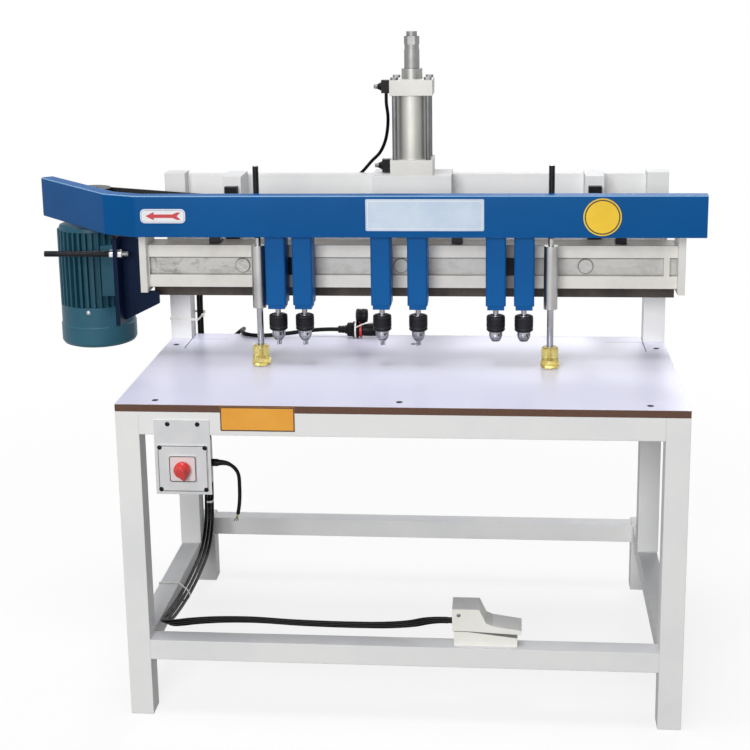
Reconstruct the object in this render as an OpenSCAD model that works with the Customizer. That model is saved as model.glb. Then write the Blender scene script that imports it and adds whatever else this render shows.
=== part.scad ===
// Line boring machine: a welded table, a boring beam on two guide rails, an air cylinder that
// moves the beam, six belt driven boring heads, two hold-down presses and a foot valve.
// Lengths are in millimetres. X runs along the beam, Y from the operator to the rear, Z up.

/* [Worktop and frame] */
// Width of the worktop
table_w = 1200; // [1150:10:1300]
// Depth of the worktop
table_d = 600; // [500:5:660]
// Thickness of the worktop
table_t = 16; // [12:1:25]
// Height of the work surface above the floor
table_h = 715; // [650:5:900]
// Side of the square tube of legs, rails and columns
tube = 50; // [46:1:54]
// Wall of every tube
tube_wall = 3; // [2:0.5:5]
// Side of the square tube of the lower stretchers
stretcher = 45; // [40:1:46]
// Height of the stretchers' top face
stretcher_top = 177; // [150:1:190]
// Depth of the frame from the front legs to the back of the rear feet
frame_d = 770; // [740:5:820]
// How far the rear feet stand above the stretchers
foot_rise = 5; // [0:1:10]

/* [Columns, crossbeam and guides] */
// Height of the two columns above the work surface
column_rise = 411; // [405:1:420]
// Thickness of the crossbeam's web and flanges
crossbeam_t = 8; // [6:1:12]
// Depth of the crossbeam's flanges
crossbeam_d = 25; // [20:1:30]
// Height of the crossbeam
crossbeam_h = 218; // [190:1:230]
// Distance of each guide post from the middle of the table
post_x = 425; // [380:5:460]
// Width of a guide post
post_w = 44; // [40:1:60]
// Depth of a guide post, from its rail to the crossbeam
post_d = 95; // [92:1:100]
// Height of a guide post
post_h = 266; // [255:1:275]
// Width of a guide rail
rail_w = 30; // [24:1:36]
// Depth of a guide rail
rail_d = 18; // [15:1:22]
// Length of a guide rail
rail_len = 238; // [225:1:240]

/* [Air cylinder] */
// Side of the square cylinder caps
cap_side = 100; // [96:1:110]
// Height of each cap
cap_h = 36; // [32:1:45]
// Bore of the barrel
barrel_bore = 80; // [70:1:82]
// Wall of the barrel
barrel_wall = 3; // [2:0.5:3.5]
// Length of the barrel
barrel_len = 150; // [135:1:170]
// Diameter of the piston rod
rod_d = 25; // [20:1:28]
// Diameter of a tie rod
tie_d = 12; // [8:1:14]
// Distance of each tie rod from the middle planes of the cylinder
tie_offset = 39; // [37:0.5:41]
// Outer diameter of the stop sleeve on the rear rod
sleeve_d = 36; // [33:1:40]
// Upward travel of the beam
lift_travel = 75; // [60:5:75]

/* [Boring beam] */
// Length of the beam between its end plates
beam_len = 1210; // [1050:5:1400]
// Height of the beam's front
beam_h = 100; // [95:1:110]
// Depth of the beam
beam_d = 70; // [65:1:75]
// Height of the beam's bottom edge above the work surface
beam_rise = 171; // [169:1:175]
// Height of each of the two front rails of the beam
beam_rail_h = 29; // [24:1:32]
// Depth of the recess between the rails
recess_d = 12; // [8:1:14]
// Thickness of an end plate
end_plate_t = 16; // [12:1:20]

/* [Boring heads and chucks] */
// Distance of the spindle line in front of the beam
spindle_reach = 50; // [45:1:55]
// Width of a head
head_w = 45; // [40:1:48]
// Depth of a head's housing
head_d = 56; // [52:1:60]
// Height of a head's housing
head_h = 183; // [178:1:186]
// Radius of a spindle pulley
pulley_r = 23; // [20:1:25]
// Radius of the spindle in its bearings
spindle_r = 7.5; // [6:0.5:9]
// Outer radius of a chuck sleeve
chuck_r = 20.5; // [19:0.5:22]
// Height of a chuck sleeve
chuck_sleeve_h = 38; // [32:1:40]
// Radius of a chuck's nose
nose_r = 15; // [13:0.5:16]
// Radius of the shank bore of an open chuck
shank_r = 5; // [3:0.5:6]

/* [Hold-down presses] */
// Place of the left press along the beam
press_left_x = -338; // [-350:1:-337]
// Place of the right press along the beam
press_right_x = 321; // [312:1:340]
// Outer radius of a press tube
press_tube_r = 15.5; // [14.5:0.5:17]
// Radius of a press rod
press_rod_r = 7.5; // [6:0.5:8.5]
// Radius of a pad
pad_r = 21; // [18:0.5:24]
// Height of a pad
pad_h = 47; // [42:1:50]
// Upward travel of a press rod
press_travel = 25; // [15:1:28]
// Curls of a press spring
spring_curls = 12; // [8:1:14]

/* [Motor and belt] */
// Distance of the motor axis from the beam's left end plate
motor_gap = 145; // [145:1:170]
// Distance of the motor axis behind the beam
motor_back = 60; // [50:1:70]
// Radius over the motor's cooling fins
motor_r = 88; // [84:1:89]
// Cooling fins round the motor
motor_fins = 36; // [24:1:40]
// Height of the finned frame
motor_frame_h = 181; // [160:1:185]
// Height of the fan cowl
cowl_h = 98; // [88:1:110]
// Radius of the motor pulley
motor_pulley_r = 42; // [36:1:46]
// Radius of the motor shaft
shaft_r = 14; // [11:0.5:16]
// Height of each of the two belts
belt_h = 18; // [14:1:19]
// Thickness of the belts
belt_t = 5; // [3:0.5:6]

/* [Belt cover] */
// Thickness of the cover's sheet
sheet = 2.5; // [1.5:0.5:3]
// Height of the cover
cover_h = 94; // [88:1:96]
// Width of the cover's top flange
flange_w = 30; // [20:2:30]
// How far the cover reaches past the beam's right end plate
cover_over = 35; // [10:1:60]

/* [Switch and pedal] */
// Width of the switch plate
switch_w = 120; // [112:1:130]
// Height of the switch plate
switch_h = 165; // [155:1:170]
// Length of the pedal's base
pedal_len = 136; // [130:1:150]
// Width of the pedal
pedal_w = 62; // [56:1:70]
// Height of the pedal's hood
hood_h = 84; // [80:1:92]

/* [Cords and hoses] */
// Outer diameter of an air hose
hose_d = 8; // [6:0.5:8]
// Outer diameter of the mains lead
mains_d = 10; // [8:0.5:11]
// Outer diameter of the switch lead
lead_d = 8; // [6:0.5:9]

/* [Hidden] */
$fn = 48;

// Clearances
fit = 0.05;
gap = 0.3;
slide_gap = 0.4;
notch_gap = 1;

// Frame
half_w = table_w / 2;
inner_w = half_w - tube;
frame_top = table_h - table_t;
column_y = table_d - tube;
rear_foot_y = frame_d - tube;
stretcher_z = stretcher_top - stretcher;
side_inset = (tube - stretcher) / 2;
kerf_len = 90;
kerf_w = 2;
kerf_depth = 4;
screw_head_r = 7;
screw_head_h = 2.8;
screw_front = 32;
screw_rear = 108;
screw_mid_front = 38;
screw_mid_rear = 85;
screw_side_front = 80;
screw_side_rear = 24;
worktop_screws = concat(
    [for (x = [-1, 1]) [x * (half_w - screw_side_front), screw_front]],
    [for (x = [-1, 1]) [x * (half_w - screw_side_rear), table_d - screw_rear]],
    [[0, screw_mid_front], [0, table_d - screw_mid_rear]]);

// Crossbeam, guide posts and rails
column_h = table_h + column_rise;
bracket_t = 8;
web_inset = 35;
rail_inset = 6;
crossbeam_top = column_h - bracket_t;
crossbeam_z = crossbeam_top - crossbeam_h;
web_y = column_y + web_inset;
post_y = web_y - post_d;
post_z = column_h - post_h;
post_wall = 4;
rail_z = post_z + rail_inset;
rail_waist = 5;

// Air cylinder
axis_inset = 1;
axis_y = column_y - axis_inset;
bracket_w = 186;
bracket_y = axis_y - cap_side / 2 - axis_inset;
bracket_drop = 58;
cap_z = column_h;
barrel_z = cap_z + cap_h;
top_cap_z = barrel_z + barrel_len;
boss_r = 24.5;
boss_h = 24;
boss_top = top_cap_z + cap_h + boss_h;
sleeve_h = 43;
collar_h = 12;
nut_h = 19;
nut_r = 18;
tip_h = 11;
piston_h = 30;
piston_room = 35;
piston_z = top_cap_z - piston_room - lift_travel - piston_h;
rod_end_r = rod_d / 2 - 3;
tie_head_r = 9;
tie_head_h = 6;
fitting_w = 22;
fitting_h = 30;
fitting_rise = 3;
fitting_x = -cap_side / 2;

// Beam
beam_inset = 180;
beam_y = column_y - beam_inset;
beam_z = table_h + beam_rise;
end_face = -beam_len / 2 - end_plate_t;
beam_back = beam_y + beam_d;
beam_top = beam_z + beam_h;
beam_flange_d = 20;
beam_flange_drop = 31;
beam_wall = 12;
rib_inset = 30;
rib_x = beam_len / 2 - rib_inset;
rib_w = 13;
beam_boss_r = 16;
beam_boss_h = 4;
beam_bosses = [-385, -18, 401];
end_plate_lap = 18;
end_plate_y = beam_y - end_plate_lap;
end_plate_rise = 20;
end_plate_drop = 10;
carriage_w = 66;
carriage_h = 95;
carriage_rise = 14;
carriage_z = rail_z + carriage_rise;
arm_w = 80;
arm_t = 25;
arm_rise = 59;
arm_z = beam_z + arm_rise;
arm_over = 26;
arm_end = axis_y + arm_over;

// Boring heads
head_x = [-296, -235, -58, 24, 199, 262];
spindle_y = beam_y - spindle_reach;
head_y = spindle_y - head_d / 2;
head_drop = 24;
head_z = beam_z - head_drop;
head_top = head_z + head_h;
head_foot_h = 10;
head_bevel = 3;
head_foot_inset = 3.5;
slide_w = 30;
slide_drop = 40;
bearing_r = 16;
bearing_h = 10;
neck_r = spindle_r - 1.25;
spigot_r = 5;
spigot_h = 18;
pulley_flange = 3;
pulley_lip = 3;
belt_side = 1;
pulley_rise = 5;
pulley_z = head_top + pulley_rise;
low_belt_z = pulley_z + pulley_flange + belt_side;
mid_flange_z = low_belt_z + belt_h + belt_side;
high_belt_z = mid_flange_z + pulley_flange + belt_side;
pulley_top = high_belt_z + belt_h + belt_side + pulley_flange;
neck_h = 16;
chuck_top = head_z - head_foot_h - neck_h;
nose_h = 22;
jaw_h = 14;
jaw_r = 2.8;
closed_chucks = 4;

// Presses
press_drop = 35;
press_rise = 9;
press_bottom = beam_z - press_drop;
press_top = beam_top + press_rise;
press_x = [press_left_x, press_right_x];
press_bush = 15;
press_wall = 4;
press_plug = 10;
press_collar_h = 10;
press_stud_r = 6.5;
press_stud_h = 17;
press_pilot_h = press_travel + 15;
preload_len = 180;
preload_top = press_top + preload_len;
preload_r = 6;
press_block_w = 24;
pad_z = table_h + 1;
pad_bolt_r = 3.5;
pad_head_r = 8;
pad_head_h = 5;
spring_wire = 2.4;
spring_r = press_tube_r - press_wall - spring_wire / 2 - 1;
spring_bottom = press_bottom + press_bush + gap + press_collar_h;
spring_top = press_top - press_plug;
spring_sides = 6;
spring_steps = 8;

// Motor and its bracket
motor_clear = 166;
motor_x = min(end_face - motor_gap, -half_w - motor_clear);
motor_y = beam_back + motor_back;
motor_drop = 162;
motor_z = beam_z - motor_drop;
frame_z = motor_z + cowl_h;
bell_z = frame_z + motor_frame_h;
bell_h = 15;
fin_depth = 12;
fin_t = 5;
cowl_r = motor_r + 2;
cowl_wall = 2;
foot_plane = motor_x + cowl_r;
foot_offset = 70;
foot_t = 26;
foot_in = 35;
foot_end = 30;
stator_r = 50;
rotor_r = 46;
fan_r = motor_r - 14;
fan_h = 24;
plate_t = 10;
plate_lap = 45;
plate_over = 20;
plate_drop = 83;
plate_rise = 24;
plate_y = beam_y - plate_lap;
plate_back = motor_y + foot_offset + plate_over;
plate_z = beam_z - plate_drop;
plate_top = beam_top + plate_rise;
bracket_flange = 8;
gusset_inset = 5;
gusset_y = beam_y + gusset_inset;
gusset_t = 10;
lug_reach = 36;
lug_h = 29;
bolt_r = 5;
bolt_head_r = 8;
bolt_head_h = 8;
bolt_depth = 12;
tension_inset = 12;
tension_rise = 84;
tension_reach = 73;
tension_over = 24;
tension_y = plate_y + tension_inset;
tension_z = beam_z + tension_rise;
tension_r = 6;
tension_left = motor_x - tension_reach;
tension_nut_r = 10;
tension_nut_h = 9;

// Belt cover
cover_reach = 95;
cover_rise = 35;
cover_y = beam_y - cover_reach;
cover_z = beam_top + cover_rise;
cover_top = cover_z + cover_h;
cover_right = cover_over - end_face;
bend_1 = 68;
bend_2 = 11;
bend_depth = 36;
wing_reach = 142;
wing_depth = 60;
cover_bends = [[cover_right, cover_y], [foot_plane + bend_1, cover_y],
    [foot_plane - bend_2, cover_y + bend_depth], [motor_x - wing_reach, motor_y + wing_depth]];
cover_arms = [-450, 110, 480];
cover_tab_w = 5;
cover_tab_inset = 3;
cover_tab_over = 25;
cover_tab_rise = 30;
cover_tab_x = foot_plane + cover_tab_inset;
cover_tab_y = cover_y + bend_depth * (foot_plane + bend_1 - cover_tab_x) / (bend_1 + bend_2);
arm_bar_w = 25;
arm_bar_t = 5;
arm_bar_inset = 6;
arm_bar_lap = 20;
arm_bar_foot = 40;
arm_bar_z = cover_z + arm_bar_inset;
arm_bar_y = beam_y + arm_bar_lap;
label_t = 0.8;
arrow_inset = 14;
arrow_w = 102;
arrow_h = 32;
arrow_corner = 11;
label_rise = 1;
panel_label_x = -88;
panel_label_w = 261;
panel_label_h = 71;
panel_label_drop = 32;
round_label_x = 430;
round_label_r = 41.5;

// Switch
switch_x = -518;
switch_top = frame_top - 17;
switch_sheet = 2;
panel_t = 3;
panel_w = 107;
panel_h = 103;
panel_rise = 7;
box_w = 102;
box_d = 60;
box_h = 98;
escutcheon_side = 58;
knob_r = 17;
knob_h = 12;
knob_lever_h = 15;
knob_lever_r = 13.5;
knob_tip_r = 4;
knob_tip_at = 21;
knob_tilt = 25;
knob_x = switch_x + switch_w / 2;
knob_z = switch_top - switch_h + panel_rise + panel_h / 2;
knob_base = switch_sheet + panel_t * 2;
knob_front = knob_base + gap + knob_h + knob_lever_h;
switch_screw_r = 5;
panel_screw_x = panel_w / 2 - switch_screw_r;
panel_screw_z = panel_h / 2 - switch_screw_r;
switch_screw_h = 3;
notice_x = -375;
notice_w = 158;
notice_h = 53;
notice_t = 1;
notice_z = frame_top - 40;

// Pedal
pedal_x = 114;
pedal_y = 12;
pedal_wall = 4;
pedal_pin_r = 4;
pedal_pin_x = pedal_x + 10;
pedal_pin_z = stretcher_top + hood_h - 14;
pedal_base_h = 32;
pedal_tip_h = 20;
tread_gap = 8;
tread_t = 10;
hood_len = 54;
hood_foot = 69;
ear_w = 24;

// Hose and cord routes
hose_step = 6.6;
pedal_port = [pedal_x - 14, pedal_y + pedal_w / 2, stretcher_top + 44];
hose_x = 12 - inner_w;
hose_y = table_d + 16;
low = stretcher_top;
port_x = fitting_x - fitting_w / 2;
port_z = cap_z + fitting_rise + fitting_h / 2;
bundle = [[58, 45.5, low + 40.5], [22, 51, low + 30.5], [-30, 55, low + 23.5], [-100, 57, low + 21],
    [-226, 58, low + 22], [-340, 58, low + 26.5], [-420, 58, low + 24], [-470, 58.4, low + 19],
    [hose_x + 42, 60, low + 14.5], [hose_x + 21, 65.6, low + 10], [hose_x + 5.6, 81, low + 5],
    [hose_x, 102, low - 1], [hose_x, 150, low - 10], [hose_x, 220, low - 20],
    [hose_x, hose_y / 2 - 8, low - 27], [hose_x, hose_y - 166, low - 27], [hose_x, hose_y - 86, low - 18],
    [hose_x, hose_y - 40, low + 4], [hose_x, hose_y - 12, low + 39], [hose_x, hose_y, low + 89],
    [hose_x, hose_y, low + 243]];
top_hose_end = [[hose_x - 6, hose_y - 6, table_h - 155], [hose_x - 6, hose_y - 4, table_h - 15],
    [hose_x - 6, hose_y + 6, table_h + 145], [hose_x, hose_y + 16, column_h - 166],
    [-480, hose_y + 20, column_h - 106], [-300, hose_y + 20, column_h - 66],
    [-170, hose_y + 16, column_h - 41], [-128, hose_y + 8, column_h - 8],
    [-104, hose_y - 4, column_h + 19], [-82, hose_y - 20, column_h + 42],
    [-68, hose_y - 36, column_h + 70], [-60, hose_y - 52, column_h + 104],
    [-58, hose_y - 62, column_h + 136], [port_x, axis_y, top_cap_z - 20],
    [port_x, axis_y, top_cap_z + fitting_rise]];
base_hose_end = [[hose_x, hose_y, table_h - 155], [hose_x, hose_y + 4, table_h - 15],
    [hose_x + 2, hose_y + 16, table_h + 145], [hose_x + 14, hose_y + 24, column_h - 186],
    [-470, hose_y + 28, column_h - 136], [-280, hose_y + 28, column_h - 96],
    [-150, hose_y + 27, column_h - 70], [-104, hose_y + 25, column_h - 46],
    [-80, hose_y + 20, column_h - 18], [-67, hose_y + 6, column_h + 5],
    [port_x - 1, hose_y - 16, port_z - 1], [port_x, hose_y - 38, port_z + 0.5],
    [port_x, axis_y + fitting_w / 2, port_z]];
inlet_x = -half_w + tube / 2;
inlet_z = frame_top - 67;
inlet_w = 24;
inlet_d = 30;
inlet_h = 36;
nipple_r = 5;
nipple_len = 22;
nipple_hex_r = 9;
nipple_hex_h = 8;
inlet_y = table_d + inlet_d / 2;
inlet_hose_end = [[hose_x + 5, hose_y + 9, table_h - 245], [hose_x - 4, hose_y + 9, table_h - 199],
    [hose_x - 18, hose_y + 5, table_h - 161], [inlet_x + 7, inlet_y + 2, table_h - 133],
    [inlet_x + 1, inlet_y + 0.3, inlet_z - 32], [inlet_x, inlet_y, inlet_z - inlet_h / 2]];
lead_x = knob_x + box_w / 2 + 17;
lead_z = knob_z + 2.5;
lead_y = 30;
lead_bend = 35;
lead_turn = [for (a = [0 : 15 : 90])
    [lead_x + 10 + lead_bend * sin(a), lead_y, lead_z - lead_bend * (1 - cos(a))]];
lead_hang = [[lead_x + 45.4, lead_y - 1, lead_z - 53], [lead_x + 45.4, lead_y - 2.5, lead_z - 73],
    [lead_x + 44, lead_y - 4, lead_z - 93], [lead_x + 40.5, lead_y - 5, lead_z - 114]];
switch_route = concat([[lead_x, lead_y, lead_z]], lead_turn, lead_hang);
plug_x = -190;
plug_y = table_d - 25;
plug_r = 20;
plug_z = table_h + plug_r;
mains_z = frame_top - 40;
mains_bend = 46;
mains_turn_r = 48;
mains_out = [-502, table_d + 24, mains_z];
mains_slant = asin((table_h + mains_d / 2 + 0.5 - mains_z) / (2 * mains_bend));
mains_rise = [cos(mains_slant), 0, sin(mains_slant)];
mains_loop = [for (a = [0 : 20 : 180])
    mains_out + mains_bend * ((1 - cos(a)) * mains_rise + [0, sin(a), 0])];
mains_over = mains_out + 2 * mains_bend * mains_rise - [0, 12, 0];
mains_turn = [for (a = [0 : 18 : 90]) mains_over + mains_turn_r * [1 - cos(a), -sin(a), 0]];
mains_laid = mains_over + [mains_turn_r, -mains_turn_r, 0];
plug_tail = [plug_x - 16, plug_y, plug_z];
mains_run = [for (u = [0.2 : 0.2 : 0.9]) let (s = u * u * (3 - 2 * u), way = plug_tail - mains_laid)
    mains_laid + [u * way[0], s * way[1], s * way[2]]];
mains_route = concat([mains_out - [0, 12, 0]], mains_loop, mains_turn, mains_run,
    [plug_tail, [plug_x, plug_y, plug_z]]);

// The part stands with its origin under the middle of its box
box_left = cover_bends[3][0];
box_front = -knob_front;
origin_x = (box_left + cover_right) / 2;
origin_y = (box_front + frame_d) / 2;

module at_origin() {
    translate([-origin_x, -origin_y, 0]) children();
}

// Square tube along Z, open at both ends
module tube_z(side, length) {
    difference() {
        cube([side, side, length]);
        translate([tube_wall, tube_wall, -1])
            cube([side - 2 * tube_wall, side - 2 * tube_wall, length + 2]);
    }
}

// Square tube along Z with its top closed
module capped_tube_z(side, length) {
    bore = side - 2 * tube_wall;
    difference() {
        cube([side, side, length]);
        translate([tube_wall, tube_wall, -1]) cube([bore, bore, length + 1 - tube_wall]);
    }
}

// Square tube along X
module tube_x(side, length) {
    translate([0, 0, side]) rotate([0, 90, 0]) tube_z(side, length);
}

// Square tube along Y
module tube_y(side, length) {
    translate([0, 0, side]) rotate([-90, 0, 0]) tube_z(side, length);
}

// The same piece at the left and, mirrored, at the right
module both_sides() {
    children();
    mirror([1, 0, 0]) children();
}

module ring(outer, inner, height) {
    difference() {
        cylinder(r = outer, h = height);
        translate([0, 0, -1]) cylinder(r = inner, h = height + 2);
    }
}

module hex(radius, height) {
    cylinder(r = radius, h = height, $fn = 6);
}

// A tube swept along points, with its rings carried from one point to the next
function unit(v) = v / norm(v);
function tangent(p, i) = unit(p[min(i + 1, len(p) - 1)] - p[max(i - 1, 0)]);
function flatten(v, t) = unit(v - (v * t) * t);
function carry(t, normals, i = 1) =
    i == len(t) ? normals : carry(t, concat(normals, [flatten(normals[i - 1], t[i])]), i + 1);
function sweep_points(p, radius, sides) =
    let (t = [for (i = [0 : len(p) - 1]) tangent(p, i)])
    let (n = carry(t, [flatten([0.31, 0.42, 0.85], t[0])]))
    [for (i = [0 : len(p) - 1], k = [0 : sides - 1])
        let (a = 360 * k / sides)
        p[i] + radius * (cos(a) * n[i] + sin(a) * cross(t[i], n[i]))];
function sweep_faces(count, sides) = concat(
    [for (k = [1 : sides - 2]) [0, k, k + 1]],
    [for (i = [0 : count - 2], k = [0 : sides - 1])
        let (a = i * sides + k, b = i * sides + (k + 1) % sides)
        each [[a, a + sides, b], [b, a + sides, b + sides]]],
    [for (k = [1 : sides - 2]) let (e = (count - 1) * sides) [e, e + k + 1, e + k]]);

module swept(p, radius, sides) {
    polyhedron(sweep_points(p, radius, sides), sweep_faces(len(p), sides));
}

// Frame

module worktop() {
    color("lavender") difference() {
        translate([-half_w, 0, frame_top]) cube([table_w, table_d, table_t]);
        both_sides() {
            translate([-half_w - 1, column_y - notch_gap, frame_top - 1])
                cube([tube + 1 + notch_gap, tube + notch_gap + 1, table_t + 2]);
            translate([-inner_w, column_y - notch_gap - kerf_w, table_h - kerf_depth])
                cube([kerf_len, kerf_w, kerf_depth + 1]);
            translate([-inner_w, column_y - notch_gap - kerf_len, table_h - kerf_depth])
                cube([kerf_w, kerf_len, kerf_depth + 1]);
        }
        for (s = worktop_screws) translate([s[0], s[1], table_h - screw_head_h])
            cylinder(r = screw_head_r + gap, h = screw_head_h + 1);
    }
}

module frame_screws() {
    color("dimgray") {
        for (s = worktop_screws) translate([s[0], s[1], table_h - screw_head_h])
            cylinder(r = screw_head_r, h = screw_head_h);
        for (x = [switch_x + 30, switch_x + switch_w - 26])
            translate([x, -switch_sheet, switch_top - 9]) rotate([90, 0, 0])
                cylinder(r = switch_screw_r, h = switch_screw_h);
        for (x = [-1, 1], z = [-1, 1])
            translate([knob_x + x * panel_screw_x, -switch_sheet - panel_t, knob_z + z * panel_screw_z])
                rotate([90, 0, 0]) cylinder(r = switch_screw_r, h = switch_screw_h);
    }
}

module front_legs() {
    color("whitesmoke") both_sides() translate([-half_w, 0, 0]) tube_z(tube, frame_top);
}

module top_rails() {
    rail_z0 = frame_top - tube;
    color("whitesmoke") {
        translate([-inner_w, 0, rail_z0]) tube_x(tube, 2 * inner_w);
        translate([-inner_w, column_y, rail_z0]) tube_x(tube, 2 * inner_w);
        both_sides() translate([-half_w, tube, rail_z0]) tube_y(tube, column_y - tube);
    }
}

module stretchers() {
    color("whitesmoke") {
        translate([-inner_w, 0, stretcher_z]) tube_x(stretcher, 2 * inner_w);
        translate([-inner_w, rear_foot_y + side_inset, stretcher_z]) tube_x(stretcher, 2 * inner_w);
        both_sides() translate([-half_w + side_inset, tube, stretcher_z])
            tube_y(stretcher, rear_foot_y - tube);
    }
}

module rear_feet() {
    color("whitesmoke") both_sides() translate([-half_w, rear_foot_y, 0])
        capped_tube_z(tube, stretcher_top + foot_rise);
}

module columns() {
    color("whitesmoke") both_sides() translate([-half_w, column_y, stretcher_top])
        capped_tube_z(tube, column_h - stretcher_top);
}

// A channel between the columns, with its flanges towards the rear
module crossbeam() {
    color("gainsboro") translate([-inner_w, web_y, crossbeam_z]) difference() {
        cube([2 * inner_w, crossbeam_d, crossbeam_h]);
        translate([-1, crossbeam_t, crossbeam_t])
            cube([2 * inner_w + 2, crossbeam_d, crossbeam_h - 2 * crossbeam_t]);
    }
}

module guide_posts() {
    color("gainsboro") both_sides() translate([-post_x - post_w / 2, post_y, post_z]) difference() {
        cube([post_w, post_d, post_h]);
        translate([post_wall, post_wall, -1])
            cube([post_w - 2 * post_wall, post_d - 2 * post_wall, post_h + 1 - post_wall]);
    }
}

module guide_rails() {
    color("black") both_sides() translate([-post_x, post_y, rail_z]) linear_extrude(rail_len)
        polygon([[-rail_w / 2, 0], [-rail_w / 2, -rail_d / 3], [-rail_w / 2 + rail_waist, -rail_d / 2],
            [-rail_w / 2, -rail_d * 2 / 3], [-rail_w / 2, -rail_d], [rail_w / 2, -rail_d],
            [rail_w / 2, -rail_d * 2 / 3], [rail_w / 2 - rail_waist, -rail_d / 2],
            [rail_w / 2, -rail_d / 3], [rail_w / 2, 0]]);
}

// Air cylinder

module cylinder_bracket() {
    drop_z = crossbeam_top - bracket_drop;
    inside = bracket_w - 2 * bracket_t;
    color("white") difference() {
        union() {
            translate([-bracket_w / 2, bracket_y, crossbeam_top])
                cube([bracket_w, web_y + crossbeam_d - bracket_y, bracket_t]);
            difference() {
                translate([-bracket_w / 2, bracket_y, drop_z])
                    cube([bracket_w, web_y - bracket_y, bracket_drop]);
                translate([-inside / 2, bracket_y + bracket_t, drop_z - 1])
                    cube([inside, web_y - bracket_y, bracket_drop + 1]);
            }
        }
        translate([0, axis_y, crossbeam_top - 1]) cylinder(d = rod_d + 6, h = bracket_t + 2);
    }
}

// Both caps; the upper one carries the boss of the rear rod
module cylinder_caps() {
    color("ivory") difference() {
        translate([0, axis_y, 0]) {
            translate([-cap_side / 2, -cap_side / 2, cap_z]) cube([cap_side, cap_side, cap_h]);
            translate([-cap_side / 2, -cap_side / 2, top_cap_z]) cube([cap_side, cap_side, cap_h]);
            translate([0, 0, top_cap_z + cap_h]) cylinder(r = boss_r, h = boss_h);
        }
        translate([0, axis_y, cap_z - 1]) cylinder(d = rod_d + 2 * gap, h = boss_top - cap_z + 2);
        for (x = [-1, 1], y = [-1, 1]) translate([x * tie_offset, axis_y + y * tie_offset, barrel_z - 10])
            cylinder(d = tie_d + 2 * gap, h = barrel_len + cap_h + 20);
    }
}

module cylinder_barrel() {
    color("silver") translate([0, axis_y, barrel_z])
        ring(barrel_bore / 2 + barrel_wall, barrel_bore / 2, barrel_len);
}

module tie_rods() {
    color("silver") for (x = [-1, 1], y = [-1, 1])
        translate([x * tie_offset, axis_y + y * tie_offset, barrel_z - 10]) {
            cylinder(d = tie_d, h = barrel_len + cap_h + 10);
            translate([0, 0, barrel_len + cap_h + 10]) hex(tie_head_r, tie_head_h);
        }
}

// A flow control on each cap: a black elbow with a silver screw
module flow_fittings() {
    for (z = [cap_z, top_cap_z]) translate([fitting_x, axis_y, z + fitting_rise]) {
        color("black") translate([-fitting_w, -fitting_w / 2, 0]) cube([fitting_w, fitting_w, fitting_h]);
        color("silver") translate([-fitting_w, 0, fitting_h / 2]) rotate([0, -90, 0]) {
            cylinder(r = 5, h = 12);
            translate([0, 0, 12]) hex(4, 6);
        }
    }
}

// The piston, its rod to the lift arm and the rear rod through the upper cap
module piston_rod() {
    tip = boss_top + gap + sleeve_h + collar_h + nut_h + tip_h;
    color("silver") translate([0, axis_y, 0]) {
        translate([0, 0, arm_z + arm_t]) cylinder(d = rod_d, h = tip - arm_z - arm_t);
        translate([0, 0, arm_z - 20]) cylinder(r = rod_end_r, h = arm_t + 20);
        translate([0, 0, arm_z - 16]) hex(rod_d / 2 + 5, 16);
        translate([0, 0, piston_z]) cylinder(d = barrel_bore - 2 * gap, h = piston_h);
    }
}

module stop_sleeve() {
    bore = rod_d / 2 + fit;
    color("silver") translate([0, axis_y, boss_top + gap]) {
        ring(sleeve_d / 2, bore, sleeve_h);
        translate([0, 0, sleeve_h]) ring(sleeve_d / 2 - 1, bore, collar_h);
        translate([0, 0, sleeve_h + collar_h]) difference() {
            hex(nut_r, nut_h);
            translate([0, 0, -1]) cylinder(r = bore, h = nut_h + 2);
        }
    }
}

// Beam

module beam() {
    bottom_rail = beam_z + beam_rail_h;
    top_rail = beam_top - beam_rail_h;
    color("whitesmoke") difference() {
        union() {
            translate([-beam_len / 2, beam_y, beam_z]) cube([beam_len, beam_d, beam_h]);
            translate([-beam_len / 2, beam_back - beam_flange_d, beam_z - beam_flange_drop])
                cube([beam_len, beam_flange_d, beam_flange_drop]);
        }
        translate([-beam_len / 2 + 3, beam_y - 1, bottom_rail])
            cube([rib_x + beam_len / 2 - 3, recess_d + 1, top_rail - bottom_rail]);
        translate([rib_x + rib_w, beam_y - 1, bottom_rail])
            cube([beam_len, recess_d + 1, top_rail - bottom_rail]);
        translate([-beam_len / 2 - 1, beam_y + recess_d + beam_wall, beam_z + beam_wall])
            cube([beam_len + 2, beam_d - recess_d - 2 * beam_wall, beam_h - 2 * beam_wall]);
    }
    color("whitesmoke") for (x = beam_bosses)
        translate([x, beam_y + recess_d, (bottom_rail + top_rail) / 2]) rotate([90, 0, 0])
            cylinder(r = beam_boss_r, h = beam_boss_h);
}

module beam_end_plates() {
    color("whitesmoke") difference() {
        both_sides() translate([end_face, end_plate_y, beam_z - end_plate_drop])
            cube([end_plate_t, beam_back - end_plate_y, beam_h + end_plate_drop + end_plate_rise]);
        for (b = bracket_holes) translate([end_face - 1, b[0], b[1]]) rotate([0, 90, 0])
            cylinder(r = bolt_r + fit, h = bolt_depth + 2);
    }
}

module guide_carriages() {
    rail_front = post_y - rail_d;
    color("dimgray") both_sides() translate([-post_x, 0, carriage_z]) difference() {
        translate([-carriage_w / 2, beam_back, 0])
            cube([carriage_w, rail_front + rail_d / 2 - beam_back, carriage_h]);
        translate([-rail_w / 2 - slide_gap, rail_front - slide_gap, -1])
            cube([rail_w + 2 * slide_gap, rail_d, carriage_h + 2]);
    }
}

// The plate behind the beam that the piston rod pushes and lifts
module lift_arm() {
    color("gainsboro") difference() {
        translate([-arm_w / 2, beam_back, arm_z]) cube([arm_w, arm_end - beam_back, arm_t]);
        translate([0, axis_y, arm_z - 1]) cylinder(r = rod_end_r + fit, h = arm_t + 2);
    }
}

// Presses

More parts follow.
